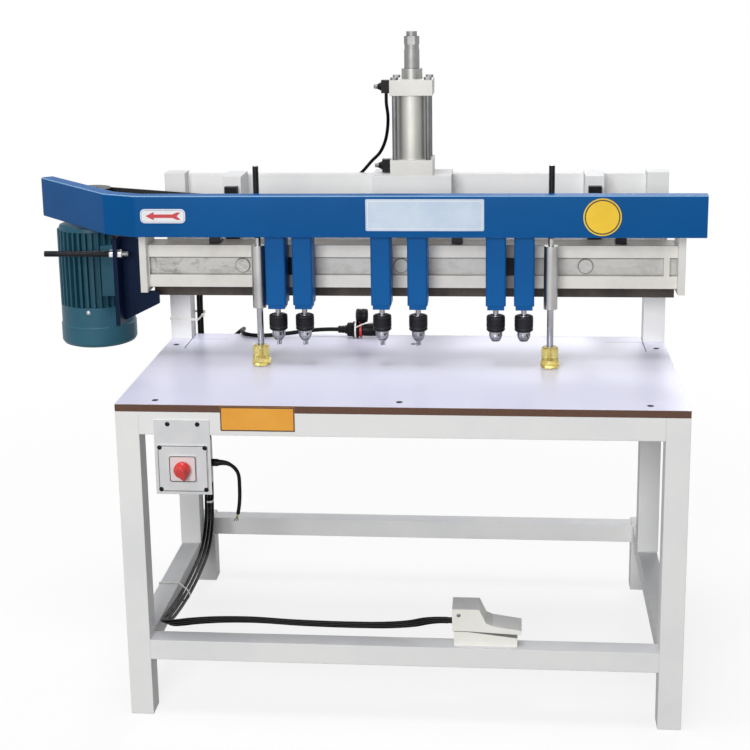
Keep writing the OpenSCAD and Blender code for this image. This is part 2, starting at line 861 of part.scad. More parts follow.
// Tube, mounting block, top plug and preload screw of each press
module press_tubes() {
    for (x = press_x) translate([x, spindle_y, 0]) {
        color("silver") difference() {
            union() {
                translate([0, 0, press_bottom]) cylinder(r = press_tube_r, h = press_top - press_bottom);
                translate([0, 0, press_top]) cylinder(r = press_stud_r, h = press_stud_h);
                translate([-press_block_w / 2, 0, beam_z + 4])
                    cube([press_block_w, beam_y - spindle_y, beam_h - 8]);
            }
            translate([0, 0, press_bottom - 1]) cylinder(r = press_rod_r + fit, h = press_bush + 2);
            translate([0, 0, press_bottom + press_bush])
                cylinder(r = press_tube_r - press_wall, h = spring_top - press_bottom - press_bush);
        }
        color("black") translate([0, 0, press_top + press_stud_h])
            cylinder(r = preload_r, h = preload_top - press_top - press_stud_h);
    }
}

// One unbroken helix with a straight rise between its ends
function helix(x) = let (
    low = spring_bottom + spring_wire / 2 + gap,
    high = spring_top - spring_wire / 2 - gap)
    [for (i = [0 : spring_curls * spring_steps])
        let (a = 360 * i / spring_steps, s = i / (spring_curls * spring_steps))
        [x + spring_r * cos(a), spindle_y + spring_r * sin(a), low + s * (high - low)]];

curl_pitch = (spring_top - spring_bottom - spring_wire - 2 * gap) / spring_curls;
echo(spring_gap = curl_pitch - spring_wire);

module press_spring(x) {
    color("gray") swept(helix(x), spring_wire / 2, spring_sides);
}

// Rod with its collar in the tube and the bolt that holds the pad
module press_rod(x) {
    pad_top = pad_z + pad_h;
    color("silver") translate([x, spindle_y, 0]) {
        translate([0, 0, pad_top]) cylinder(r = press_rod_r, h = spring_bottom - pad_top);
        translate([0, 0, spring_bottom - press_collar_h])
            cylinder(r = press_tube_r - press_wall - gap, h = press_collar_h);
        translate([0, 0, spring_bottom]) cylinder(r = press_rod_r - 1.5, h = press_pilot_h);
        translate([0, 0, pad_z + 17]) cylinder(r = pad_bolt_r, h = pad_h - 17);
        translate([0, 0, pad_z + 17]) cylinder(r = pad_head_r, h = pad_head_h);
    }
}

module press_pad(x) {
    color("khaki") translate([x, spindle_y, pad_z]) difference() {
        rotate_extrude() polygon([[0, 0], [pad_r - 2, 0], [pad_r, 3], [pad_r, 14], [pad_r - 1.5, 16],
            [pad_r - 1.5, pad_h - 2], [pad_r - 3.5, pad_h], [0, pad_h]]);
        translate([0, 0, 17]) cylinder(r = pad_bolt_r + gap, h = pad_h);
        translate([0, 0, 17]) cylinder(r = pad_head_r + gap, h = pad_head_h);
    }
}

// Boring heads

module boring_heads() {
    half_head = head_w / 2;
    foot_w = head_w - 2 * head_foot_inset;
    bored = head_h + head_foot_h;
    color("royalblue") for (x = head_x) translate([x, 0, 0]) difference() {
        union() {
            translate([0, head_y, head_z]) linear_extrude(head_h) polygon([[-half_head, head_bevel],
                [head_bevel - half_head, 0], [half_head - head_bevel, 0], [half_head, head_bevel],
                [half_head, head_d], [-half_head, head_d]]);
            translate([-head_w / 2 + head_foot_inset, head_y + head_foot_inset, head_z - head_foot_h])
                cube([foot_w, head_d - 2 * head_foot_inset, head_foot_h]);
            translate([-slide_w / 2, head_y + head_d, head_z + slide_drop])
                cube([slide_w, beam_y - head_y - head_d, beam_top - head_z - slide_drop]);
        }
        translate([0, spindle_y, head_z - head_foot_h - 1]) {
            cylinder(r = spindle_r + 1, h = bored + 2);
            cylinder(r = bearing_r, h = bearing_h + 1);
            translate([0, 0, bored + 1 - bearing_h]) cylinder(r = bearing_r, h = bearing_h + 1);
        }
    }
}

// Two ball bearings in each head
module spindle_bearings() {
    color("gray") for (x = head_x, z = [head_z - head_foot_h, head_top - bearing_h])
        translate([x, spindle_y, z]) ring(bearing_r - fit, spindle_r + fit, bearing_h);
}

// Shaft with its belt pulley above and the spigot for the chuck below; the first has two grooves
module spindle(i) {
    top = i == 0 ? pulley_top : mid_flange_z + pulley_flange;
    flanges = i == 0 ? [pulley_z, mid_flange_z, pulley_top - pulley_flange] : [pulley_z, mid_flange_z];
    color("silver") translate([head_x[i], spindle_y, 0]) {
        translate([0, 0, chuck_top - spigot_h]) cylinder(r = spigot_r, h = spigot_h);
        translate([0, 0, chuck_top]) cylinder(r = neck_r, h = 14);
        translate([0, 0, chuck_top + 14]) cylinder(r = spindle_r, h = top - chuck_top - 14);
        pulley(pulley_r, top, flanges);
    }
}

module pulley(radius, top, flanges) {
    translate([0, 0, flanges[0]]) cylinder(r = radius, h = top - flanges[0]);
    for (z = flanges) translate([0, 0, z]) cylinder(r = radius + pulley_lip, h = pulley_flange);
}

// Black sleeve round a silver core; the first chucks are closed and the others are open
module chuck(i) {
    sleeve_z = chuck_top - chuck_sleeve_h;
    bevel = 2.5;
    translate([head_x[i], spindle_y, sleeve_z]) {
        color("black") rotate_extrude()
            polygon([[nose_r + gap, 1], [chuck_r - bevel, 1], [chuck_r, 1 + bevel],
                [chuck_r, chuck_sleeve_h - bevel], [chuck_r - bevel, chuck_sleeve_h - 1],
                [nose_r + gap, chuck_sleeve_h - 1]]);
        color("silver") difference() {
            union() {
                rotate_extrude() polygon([[0, -nose_h], [nose_r * 0.6, -nose_h], [nose_r - 2, -nose_h + 6],
                    [nose_r, -nose_h + 12], [nose_r, chuck_sleeve_h], [0, chuck_sleeve_h]]);
                if (i < closed_chucks) for (a = [0, 120, 240]) rotate(a)
                    translate([jaw_r * 1.3, 0, -nose_h - jaw_h + 2]) cylinder(r = jaw_r, h = jaw_h);
            }
            translate([0, 0, chuck_sleeve_h - spigot_h - gap]) cylinder(r = spigot_r + fit, h = spigot_h + 2);
            if (i >= closed_chucks) translate([0, 0, -nose_h - 1])
                cylinder(r = shank_r, h = chuck_sleeve_h - spigot_h + nose_h - 4);
            for (a = [0, 120, 240]) rotate(a + 60) translate([nose_r - 4, 0, -6]) rotate([0, 90, 0])
                cylinder(r = 3, h = 8);
        }
    }
}

// Motor, belt and cover

// Finned frame with its drive end bell, its feet and the bore of the shaft
module motor_body() {
    core = motor_r - fin_depth;
    half_fin = fin_t / 2;
    fin_points = [for (k = [0 : motor_fins - 1]) let (a = 360 * k / motor_fins)
        each [for (q = [[core, -half_fin], [motor_r, -half_fin], [motor_r, half_fin], [core, half_fin]])
            [q[0] * cos(a) - q[1] * sin(a), q[0] * sin(a) + q[1] * cos(a)]]];
    color("teal") difference() {
        union() {
            translate([motor_x, motor_y, frame_z]) linear_extrude(motor_frame_h) polygon(fin_points);
            translate([motor_x, motor_y, bell_z]) rotate_extrude()
                polygon([[0, 0], [motor_r - 4, 0], [motor_r - 6, 9], [core - 16, bell_h], [0, bell_h]]);
            for (side = [-1, 1])
                translate([motor_x + foot_in, motor_y + side * foot_offset - foot_t / 2, frame_z + foot_end])
                    cube([cowl_r - foot_in, foot_t, motor_frame_h - 2 * foot_end]);
        }
        translate([motor_x, motor_y, frame_z - 1]) cylinder(r = stator_r, h = motor_frame_h - 20);
        translate([motor_x, motor_y, frame_z]) cylinder(r = shaft_r + fit, h = motor_frame_h + bell_h + 1);
    }
}

// Fan cowl with the rear end bell that carries the shaft
module motor_cowl() {
    step = cowl_h / 2;
    color("cadetblue") translate([motor_x, motor_y, motor_z]) difference() {
        rotate_extrude() polygon([[0, 0], [cowl_r - 12, 0], [cowl_r - 4, 3], [cowl_r, 10], [cowl_r, step],
            [cowl_r - 2, step + 2], [cowl_r - 2, cowl_h], [0, cowl_h]]);
        translate([0, 0, 12]) cylinder(r = cowl_r - 6, h = cowl_h - 22);
        translate([0, 0, cowl_wall]) cylinder(r = cowl_r - 16, h = 12);
        translate([0, 0, cowl_h - 20]) cylinder(r = shaft_r + fit, h = 21);
        for (k = [0 : 11]) rotate(30 * k) translate([30, -4, -1]) cube([34, 8, cowl_wall + 2]);
    }
}

// Shaft with the rotor, the cooling fan and the belt pulley
module motor_shaft() {
    color("dimgray") translate([motor_x, motor_y, 0]) {
        translate([0, 0, motor_z + 20]) cylinder(r = shaft_r, h = pulley_top + 2 - motor_z - 20);
        translate([0, 0, motor_z + 24]) cylinder(r = fan_r / 2, h = fan_h);
        for (k = [0 : 6]) rotate(360 * k / 7) translate([fan_r / 4, -2, motor_z + 24])
            cube([fan_r * 3 / 4, 4, fan_h]);
        translate([0, 0, frame_z + 10]) cylinder(r = rotor_r, h = motor_frame_h - 40);
        pulley(motor_pulley_r, pulley_top, [mid_flange_z, pulley_top - pulley_flange]);
    }
}

// Motor plate, front gusset and the flange that bolts to the beam's end plate
plate_right = foot_plane + plate_t;
flange_front = 8;
flange_rear = 4;
flange_rise = 16;
flange_y = end_plate_y + flange_front;
flange_d = beam_back - flange_y - flange_rear;
bolt_inset = 12;
bolt_pitch = 22;
bolt_low = 14;
bolt_high = 4;
bracket_holes = [for (y = [bolt_inset + bolt_pitch, bolt_inset])
    for (z = [beam_z + bolt_low, beam_top + bolt_high])
    [flange_y + flange_d - y, z]];
gusset_top = 6;
gusset_low = 2;
lug_gap = 2;

module motor_bracket() {
    lug_top = beam_z - end_plate_drop - lug_gap;
    color("midnightblue") difference() {
        union() {
            translate([foot_plane, plate_y, plate_z])
                cube([plate_t, plate_back - plate_y, plate_top - plate_z]);
            translate([0, gusset_y + gusset_t, 0]) rotate([90, 0, 0]) linear_extrude(gusset_t)
                polygon([[plate_right, plate_top - gusset_top], [end_face, plate_top - gusset_top],
                    [end_face, lug_top],
                    [end_face + lug_reach, lug_top], [end_face + lug_reach, lug_top - lug_h],
                    [plate_right, plate_z + gusset_low]]);
            translate([end_face - bracket_flange, flange_y, beam_z])
                cube([bracket_flange, flange_d, beam_h + flange_rise]);
        }
        translate([foot_plane - 1, tension_y, tension_z]) rotate([0, 90, 0])
            cylinder(r = tension_r + gap, h = plate_t + 2);
        for (b = bracket_holes) translate([end_face - bracket_flange - 1, b[0], b[1]]) rotate([0, 90, 0])
            cylinder(r = bolt_r + gap, h = bracket_flange + 2);
    }
}

// Four bolts into the end plate, and the black tension screw with a nut at each side of the plate
module bracket_bolts() {
    color("silver") for (b = bracket_holes) translate([end_face - bracket_flange, b[0], b[1]]) {
        rotate([0, -90, 0]) hex(bolt_head_r, bolt_head_h);
        rotate([0, 90, 0]) cylinder(r = bolt_r, h = bracket_flange + bolt_depth);
    }
    color("black") translate([tension_left, tension_y, tension_z]) rotate([0, 90, 0])
        cylinder(r = tension_r, h = plate_right + tension_over - tension_left);
    color("silver") for (x = [foot_plane - tension_nut_h, plate_right]) translate([x, tension_y, tension_z])
        rotate([0, 90, 0]) difference() {
            hex(tension_nut_r, tension_nut_h);
            translate([0, 0, -1]) cylinder(r = tension_r + fit, h = tension_nut_h + 2);
        }
}

// The upper belt joins the motor to the first spindle, and the lower one joins all the spindles
motor_wheels = [[motor_x, motor_y, motor_pulley_r], [head_x[0], spindle_y, pulley_r]];
spindle_wheels = [[head_x[0], spindle_y, pulley_r], [head_x[5], spindle_y, pulley_r]];
belt_arc_steps = 16;
function middle_of(w) = [w[0], w[1]];
function run_angle(a, b) =
    let (v = middle_of(b) - middle_of(a))
    atan2(v[1], v[0]) - asin((b[2] - a[2]) / norm(v));
function belt_loop(wheels, offset) = [for (i = [0, 1])
    let (first = run_angle(wheels[1 - i], wheels[i]), last = run_angle(wheels[i], wheels[1 - i]))
    let (turn = (last - first + 720) % 360)
    let (radius = (wheels[i][2] + gap + offset) / cos(turn / belt_arc_steps / 2))
    each [for (k = [0 : belt_arc_steps])
        let (a = first + turn * k / belt_arc_steps) middle_of(wheels[i]) + radius * [sin(a), -cos(a)]]];

module belt(wheels, z) {
    translate([0, 0, z]) linear_extrude(belt_h) difference() {
        polygon(belt_loop(wheels, belt_t));
        polygon(belt_loop(wheels, 0));
    }
}

module drive_belts() {
    color("black") {
        belt(motor_wheels, high_belt_z);
        belt(spindle_wheels, low_belt_z);
    }
}

// A strip of the cover's outline: its outer face and a face further in
function turned(v) = [-v[1], v[0]] / norm(v);
function inward(i, depth) =
    let (b = cover_bends, last = len(cover_bends) - 1)
    let (before = turned(b[max(i, 1) - 1] - b[max(i, 1)]))
    let (after = turned(b[min(i, last - 1)] - b[min(i, last - 1) + 1]))
    let (mid = unit(before + after))
    b[i] + mid * depth / (mid * before);
function cover_strip(depth) = concat(cover_bends,
    [for (i = [len(cover_bends) - 1 : -1 : 0]) inward(i, depth)]);

// Bent sheet with its top flange, on bars that stand on the beam
module belt_cover() {
    color("steelblue") {
        translate([0, 0, cover_z]) linear_extrude(cover_h) polygon(cover_strip(sheet));
        translate([0, 0, cover_top - sheet]) linear_extrude(sheet) polygon(cover_strip(flange_w));
        for (x = cover_arms) translate([x - arm_bar_w / 2, 0, 0]) {
            translate([0, cover_y + sheet / 2, arm_bar_z])
                cube([arm_bar_w, arm_bar_y - cover_y - sheet / 2, arm_bar_t]);
            translate([0, arm_bar_y - arm_bar_t, beam_top])
                cube([arm_bar_w, arm_bar_t, arm_bar_z + arm_bar_t - beam_top]);
            translate([0, arm_bar_y - arm_bar_t, beam_top]) cube([arm_bar_w, arm_bar_foot, arm_bar_t]);
        }
        translate([cover_tab_x, cover_tab_y + sheet / 2, plate_top])
            cube([cover_tab_w, plate_y + cover_tab_over - cover_tab_y, cover_z + cover_tab_rise - plate_top]);
    }
}

// A rounded arrow label, a bare panel and a bare round label
module cover_labels() {
    middle = cover_z + cover_h / 2;
    long_side = arrow_w - arrow_corner;
    short_side = arrow_h - arrow_corner;
    color("white")
        translate([cover_bends[1][0] + arrow_inset, cover_y, middle + label_rise - arrow_h / 2])
        rotate([90, 0, 0]) linear_extrude(label_t) {
            translate([arrow_corner, 0]) square([long_side - arrow_corner, arrow_h]);
            translate([0, arrow_corner]) square([arrow_w, short_side - arrow_corner]);
            for (x = [arrow_corner, long_side], z = [arrow_corner, short_side])
                translate([x, z]) circle(arrow_corner);
        }
    color("lightblue") translate([panel_label_x, cover_y - label_t, middle - panel_label_drop])
        cube([panel_label_w, label_t, panel_label_h]);
    color("gold") translate([round_label_x, cover_y, middle - label_rise]) rotate([90, 0, 0])
        cylinder(r = round_label_r, h = label_t);
}

// Switch, notice and pedal

// Hanging plate, raised panel, square escutcheon and the box behind the plate
module switch_box() {
    color("lightgray") {
        translate([switch_x, -switch_sheet, switch_top - switch_h]) cube([switch_w, switch_sheet, switch_h]);
        translate([knob_x - panel_w / 2, -switch_sheet - panel_t, knob_z - panel_h / 2])
            cube([panel_w, panel_t, panel_h]);
        translate([knob_x - escutcheon_side / 2, -knob_base, knob_z - escutcheon_side / 2])
            cube([escutcheon_side, panel_t, escutcheon_side]);
        translate([knob_x - box_w / 2, 0, knob_z - box_h / 2]) cube([box_w, box_d, box_h]);
    }
}

module switch_knob() {
    color("red") translate([knob_x, -knob_base - gap, knob_z]) rotate([90, 0, 0]) rotate(knob_tilt) {
        cylinder(r = knob_r, h = knob_h);
        translate([0, 0, knob_h]) linear_extrude(knob_lever_h) {
            circle(knob_lever_r);
            polygon([[-knob_lever_r, 0], [knob_lever_r, 0], [knob_tip_r, -knob_tip_at],
                [-knob_tip_r, -knob_tip_at]]);
            translate([0, -knob_tip_at]) circle(knob_tip_r);
        }
    }
}

module notice_plate() {
    color("orange") translate([notice_x, -notice_t, notice_z]) cube([notice_w, notice_t, notice_h]);
}

// Wedge base on the front stretcher, with the ear that carries the pin, and the pin
module pedal_base() {
    ear_y = pedal_y + (pedal_w - ear_w) / 2;
    color("beige") difference() {
        union() {
            translate([pedal_x, pedal_y + pedal_w, stretcher_top]) rotate([90, 0, 0]) linear_extrude(pedal_w)
                polygon([[0, 0], [pedal_len, 0], [pedal_len, pedal_tip_h], [30, pedal_base_h],
                    [0, pedal_base_h]]);
            translate([pedal_x, ear_y, stretcher_top])
                cube([22, ear_w, pedal_pin_z - stretcher_top + 7]);
        }
        translate([pedal_pin_x, pedal_y - 1, pedal_pin_z]) rotate([-90, 0, 0])
            cylinder(r = pedal_pin_r + fit, h = pedal_w + 2);
    }
    color("gray") translate([pedal_pin_x, pedal_y + 0.5, pedal_pin_z]) rotate([-90, 0, 0])
        cylinder(r = pedal_pin_r, h = pedal_w - 1);
}

// Hood and tread in one casting, hung on the pin
module pedal_tread() {
    tread_len = pedal_len + 7;
    low = pedal_base_h + 1.5;
    toe = pedal_tip_h + tread_gap;
    color("beige") translate([pedal_x, pedal_y, stretcher_top]) difference() {
        translate([0, pedal_w, 0]) rotate([90, 0, 0]) linear_extrude(pedal_w)
            polygon([[-4, low], [30, low], [tread_len, toe], [tread_len + 2, toe + tread_t],
                [hood_foot + 14, 47], [hood_foot, 53], [hood_len, hood_h], [-4, hood_h]]);
        translate([-5, pedal_wall, low - 1]) cube([hood_len - pedal_wall - 8, pedal_w - 2 * pedal_wall,
            hood_h - low - pedal_wall + 1]);
        translate([pedal_pin_x - pedal_x, -1, pedal_pin_z - stretcher_top]) rotate([-90, 0, 0])
            cylinder(r = pedal_pin_r + fit, h = pedal_w + 2);
    }
}

// Hoses, leads and what they come out of

// Hose ports of the pedal, the air inlet block behind the left column and the two cord glands
module hose_and_cord_fittings() {
    color("black") {
        for (k = [-1 : 1]) translate(port_at(k)) rotate([0, 90, 0])
            cylinder(d = hose_d - 1, h = pedal_x - pedal_port[0]);
        translate([inlet_x - inlet_w / 2, table_d, inlet_z - inlet_h / 2]) cube([inlet_w, inlet_d, inlet_h]);
        translate([knob_x + box_w / 2, switch_route[0][1], switch_route[0][2]]) rotate([0, 90, 0])
            cylinder(r = lead_d, h = switch_route[0][0] - knob_x - box_w / 2);
        translate([mains_route[0][0], table_d, mains_route[0][2]]) rotate([-90, 0, 0])
            cylinder(r = mains_d, h = mains_route[0][1] - table_d);
    }
    color("gold") translate([inlet_x - inlet_w / 2, table_d + inlet_d / 2, inlet_z]) rotate([0, -90, 0]) {
        cylinder(r = nipple_r, h = nipple_len);
        hex(nipple_hex_r, nipple_hex_h);
    }
}

function port_at(k) = pedal_port + k * hose_step * [0, 1, -1];
function port_lead(k) = [port_at(k), port_at(k) - [14, 0, 0]];
function shifted(p, k) = [for (q = p) q + k * hose_step * [1, 1, -1]];

module air_hoses() {
    color("black") {
        swept(concat(port_lead(-1), shifted(bundle, -1), top_hose_end), hose_d / 2, 8);
        swept(concat(port_lead(0), bundle, base_hose_end), hose_d / 2, 8);
        swept(concat(port_lead(1), shifted(bundle, 1), inlet_hose_end), hose_d / 2, 8);
    }
}

module switch_lead() {
    color("black") swept(switch_route, lead_d / 2, 8);
}

module mains_lead() {
    color("black") swept(mains_route, mains_d / 2, 8);
}

// Plug along X with its collar, lying at the rear edge of the worktop
module mains_plug() {
    color("black") translate([plug_x, plug_y, plug_z]) rotate([0, 90, 0]) {
        cylinder(r = 9, h = 22);
        translate([0, 0, 22]) cylinder(r = 17, h = 16);
        translate([0, 0, 38]) cylinder(r = plug_r, h = 14);
        translate([0, 0, 52]) cylinder(r = 16, h = 48);
        for (a = [0 : 120 : 240]) rotate(a) translate([8, 0, 100]) cylinder(r = 2.4, h = 20);
    }
}

at_origin() worktop();
at_origin() frame_screws();
at_origin() front_legs();
at_origin() top_rails();
at_origin() stretchers();
at_origin() rear_feet();
at_origin() columns();
at_origin() crossbeam();
at_origin() guide_posts();
at_origin() guide_rails();
at_origin() cylinder_bracket();
at_origin() cylinder_caps();
at_origin() cylinder_barrel();
at_origin() tie_rods();
at_origin() flow_fittings();
at_origin() switch_box();
at_origin() switch_knob();
at_origin() notice_plate();
at_origin() pedal_base();
at_origin() pedal_tread();
at_origin() hose_and_cord_fittings();
at_origin() air_hoses();
at_origin() switch_lead();
at_origin() mains_lead();
at_origin() mains_plug();
at_origin() beam();
at_origin() beam_end_plates();
at_origin() guide_carriages();
at_origin() lift_arm();
at_origin() piston_rod();
at_origin() stop_sleeve();
at_origin() press_tubes();
at_origin() press_spring(press_left_x);  // press_spring_left
at_origin() press_spring(press_right_x);  // press_spring_right
at_origin() press_rod(press_left_x);  // press_rod_left
at_origin() press_rod(press_right_x);  // press_rod_right
at_origin() press_pad(press_left_x);  // press_pad_left
at_origin() press_pad(press_right_x);  // press_pad_right
at_origin() boring_heads();
at_origin() spindle_bearings();
for (i = [0 : 5]) {
    at_origin() spindle(i);
    at_origin() chuck(i);
}
at_origin() motor_body();
at_origin() motor_cowl();
at_origin() motor_shaft();
at_origin() motor_bracket();
at_origin() bracket_bolts();
at_origin() drive_belts();
at_origin() belt_cover();
at_origin() cover_labels();
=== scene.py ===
"""Looks of the line boring machine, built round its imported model."""

import math

import bmesh
import bpy
import numpy as np
from mathutils import Matrix, Vector


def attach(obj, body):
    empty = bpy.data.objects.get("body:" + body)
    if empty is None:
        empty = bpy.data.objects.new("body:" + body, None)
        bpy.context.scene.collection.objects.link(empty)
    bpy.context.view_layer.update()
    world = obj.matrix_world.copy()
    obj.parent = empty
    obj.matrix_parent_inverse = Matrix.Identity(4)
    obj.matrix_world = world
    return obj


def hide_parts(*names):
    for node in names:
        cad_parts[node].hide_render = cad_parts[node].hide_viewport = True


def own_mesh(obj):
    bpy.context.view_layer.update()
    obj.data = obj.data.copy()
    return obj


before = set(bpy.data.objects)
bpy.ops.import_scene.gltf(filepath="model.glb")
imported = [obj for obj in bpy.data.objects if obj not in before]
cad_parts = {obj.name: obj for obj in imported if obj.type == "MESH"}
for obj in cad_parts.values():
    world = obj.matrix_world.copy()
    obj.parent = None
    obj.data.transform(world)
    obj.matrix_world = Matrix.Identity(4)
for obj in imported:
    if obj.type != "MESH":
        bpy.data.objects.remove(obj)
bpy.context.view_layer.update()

# Lengths are in millimetres as in the source, with X from the table's middle and Y from its front
ORIGIN = np.array([-126.0, 367.35, 0.0])
TABLE_H = 715.0
SPINDLE_X, SPINDLE_Y = (-296, -235, -58, 24, 199, 262), 320.0
CLOSE_PAIRS = (SPINDLE_X[:2], SPINDLE_X[4:])
PRESS_X = {"left": -338, "right": 321}
MOTOR_X, MOTOR_Y, COWL_R, COWL_SCREW_Z = -766.0, 500.0, 87.6, 812
TENSION_Y, TENSION_Z = 337, 970
THREAD_R, THREAD_PITCH = 6.4, 1.75
CYLINDER_Y, CAP_TOP = 549.0, 1348.0
FITTING_X, FITTING_Z = -72, (1144, 1330)
SPRING_R, SPRING_CURLS, PRESS_TRAVEL = 9.3, 12, 25.0
SPRING_FOOT, SPRING_HEAD, SPRING_SEAT = 878.0, 983.3, 985.0
BEAM_BOSS_X, BEAM_BOSS_Z = (-385, -18, 401), 936.0
RECESS_LOW, RECESS_HIGH, RECESS_FRONT, RECESS_BACK = 914.0, 958.0, 371.5, 384.0
BEAM_TOP, FLANGE_TOP = 985.0, 886.5
COVER_Y, COVER_Z, COVER_TOP, COVER_SHEET, COVER_FLANGE = 275.0, 1021.0, 1115.0, 2.5, 30.0
KNOB_X, KNOB_Z = -458.0, 575.5


def metres(points):
    """Table millimetres to the frame's metres: take off the origin, divide by a thousand."""
    return (np.asarray(points, float) - ORIGIN) / 1000.0


def at(axis, value):
    """One table coordinate in the frame's metres."""
    return float((value - ORIGIN["xyz".index(axis)]) / 1000.0)


# Camera

def make_camera():
    """The view solved from the photograph: place, yaw, downward pitch, roll and lens shift."""
    place = [222.137, -2916.730, 1623.680]
    yaw, pitch, roll = 0.0911327, 0.2247917, -0.0151722
    focal_px, image_px, axis_row = 1473.066, 750.0, 295.0
    right = np.array([math.cos(yaw), math.sin(yaw), 0.0])
    ahead = np.array([-math.sin(yaw) * math.cos(pitch), math.cos(yaw) * math.cos(pitch),
                      -math.sin(pitch)])
    up = np.cross(right, ahead)
    turned_right = math.cos(roll) * right + math.sin(roll) * up
    turned_up = math.cos(roll) * up - math.sin(roll) * right
    data = bpy.data.cameras.new("camera")
    data.sensor_width = 36.0
    data.lens = focal_px / image_px * data.sensor_width
    data.shift_y = (axis_row - image_px / 2) / image_px
    data.clip_end = 60.0
    camera = bpy.data.objects.new("camera", data)
    turn = Matrix(np.stack([turned_right, turned_up, -ahead], axis=1).tolist())
    camera.matrix_world = turn.to_4x4()
    camera.location = Vector(metres(place))
    bpy.context.scene.collection.objects.link(camera)
    bpy.context.scene.camera = camera


make_camera()


# Finishes: shader maths as expressions

class Reading:
    """A number socket of a finish; arithmetic on it adds Math nodes."""

    def __init__(self, finish, socket):
        self.finish, self.socket = finish, socket

    def _math(self, operation, *terms):
        return self.finish.read("ShaderNodeMath", {"operation": operation}, dict(enumerate(terms)))

    def __add__(self, other):
        return self._math("ADD", self, other)

    def __sub__(self, other):
        return self._math("SUBTRACT", self, other)

    def __rsub__(self, other):
        return self._math("SUBTRACT", other, self)

    def __mul__(self, other):
        return self._math("MULTIPLY", self, other)

    __radd__ = __add__
    __rmul__ = __mul__

    def over(self, limit):
        """1 where the value is above a limit, else 0."""
        return self._math("GREATER_THAN", self, limit)

    def under(self, limit):
        """1 where the value is below a limit, else 0."""
        return self._math("LESS_THAN", self, limit)

    def root(self):
        """Square root."""
        return self._math("SQRT", self)

    def most(self, other):
        """The larger of two values."""
        return self._math("MAXIMUM", self, other)

    def size(self):
        """Absolute value."""
        return self._math("ABSOLUTE", self)

    def wave(self):
        """Sine."""
        return self._math("SINE", self)

    def rise(self, low, high, start=0.0, end=1.0):
        """Smooth step from start at low to end at high."""
        return self.finish.read("ShaderNodeMapRange",
                                {"interpolation_type": "SMOOTHSTEP", "clamp": True},
                                {0: self, 1: low, 2: high, 3: start, 4: end})


class Finish:
    """A material of nodes round one Principled shader, on Object coordinates."""

    def __init__(self, name, **constants):
        self.material = bpy.data.materials.new(name)
        self.material.use_nodes = True
        self.tree = self.material.node_tree
        self.tree.nodes.clear()
        self.shader = self.add("ShaderNodeBsdfPrincipled")
        self.add("ShaderNodeOutputMaterial", None, {"Surface": self.shader.outputs[0]})
        self.spot = self.add("ShaderNodeTexCoord").outputs["Object"]
        self.set(**constants)

    def add(self, kind, settings=None, sockets=None):
        """A node of a kind: its settings first, then the values or links of its sockets."""
        node = self.tree.nodes.new(kind)
        for key, value in (settings or {}).items():
            setattr(node, key, value)
        for key, value in (sockets or {}).items():
            self.feed(node.inputs[key], value)
        return node

    def read(self, kind, settings, sockets, output=0):
        """An added node's output as a reading."""
        return Reading(self, self.add(kind, settings, sockets).outputs[output])

    def feed(self, socket, value):
        """Links a reading or socket, or sets a constant."""
        if isinstance(value, Reading):
            value = value.socket
        if isinstance(value, bpy.types.NodeSocket):
            self.tree.links.new(value, socket)
        elif socket.type == "RGBA" and len(value) == 3:
            socket.default_value = (*value, 1.0)
        else:
            socket.default_value = value

    def set(self, **sockets):
        """Sockets of the Principled shader, named with low lines for spaces."""
        for key, value in sockets.items():
            label = key.replace("_", " ").title().replace("Ior", "IOR")
            self.feed(self.shader.inputs[label], value)

    def stretch(self, scale):
        """Object coordinates scaled by a Mapping node."""
        node = self.add("ShaderNodeMapping", None, {"Vector": self.spot, "Scale": scale})
        return node.outputs[0]

    def parts(self, vector):
        """The three parts of a vector as readings."""
        node = self.add("ShaderNodeSeparateXYZ", None, {0: vector})
        return [Reading(self, part) for part in node.outputs]

    def place(self):
        """The three Object coordinates as readings."""
        return self.parts(self.spot)

    def flat(self):
        """The direction of the face itself."""
        return self.add("ShaderNodeNewGeometry").outputs["True Normal"]

    def facing(self):
        """The three parts of the surface's own direction as readings."""
        spaces = {"vector_type": "NORMAL", "convert_from": "WORLD", "convert_to": "OBJECT"}
        return self.parts(self.add("ShaderNodeVectorTransform", spaces, {0: self.flat()}).outputs[0])

    def noise(self, scale, detail=3.0, rough=0.5, where=None, distortion=0.0):
        """Fractal noise, 0 to 1, at so many features a metre."""
        return self.read("ShaderNodeTexNoise", None,
                         {"Vector": where or self.spot, "Scale": scale, "Detail": detail,
                          "Roughness": rough, "Distortion": distortion})

    def attribute(self, name):
        """A number kept on the mesh's points."""
        return self.read("ShaderNodeAttribute", {"attribute_name": name}, None, "Fac")

    def blend(self, share, first, second):
        """From the first colour to the second by a share."""
        node = self.add("ShaderNodeMix", {"data_type": "RGBA"}, {0: share, 6: first, 7: second})
        return node.outputs[2]

    def edges(self, radius):
        """The surface's direction with its edges rounded, and how far that leans from the face."""
        bevel = self.add("ShaderNodeBevel", {"samples": 4}, {"Radius": radius / 1000.0}).outputs[0]
        lean = self.read("ShaderNodeVectorMath", {"operation": "DOT_PRODUCT"},
                         {0: bevel, 1: self.flat()}, "Value")
        return bevel, 1.0 - lean

    def relief(self, height, depth, normal=None):
        """Bump of a height in millimetres, fed to the shader's Normal."""
        sockets = {"Height": height, "Distance": depth / 1000.0}
        if normal is not None:
            sockets["Normal"] = normal
        self.set(normal=self.add("ShaderNodeBump", None, sockets).outputs[0])


def srgb(red, green, blue):
    """A colour read as 0 to 255 display values, as linear light."""
    v = np.array([red, green, blue]) / 255.0
    return tuple(np.where(v <= 0.04045, v / 12.92, ((v + 0.055) / 1.055) ** 2.4).tolist())


def gained(colour, gain, lift=0.0):
    """A colour times a gain plus a lift, at most 1."""
    return tuple(min(1.0, lift + gain * part) for part in colour)


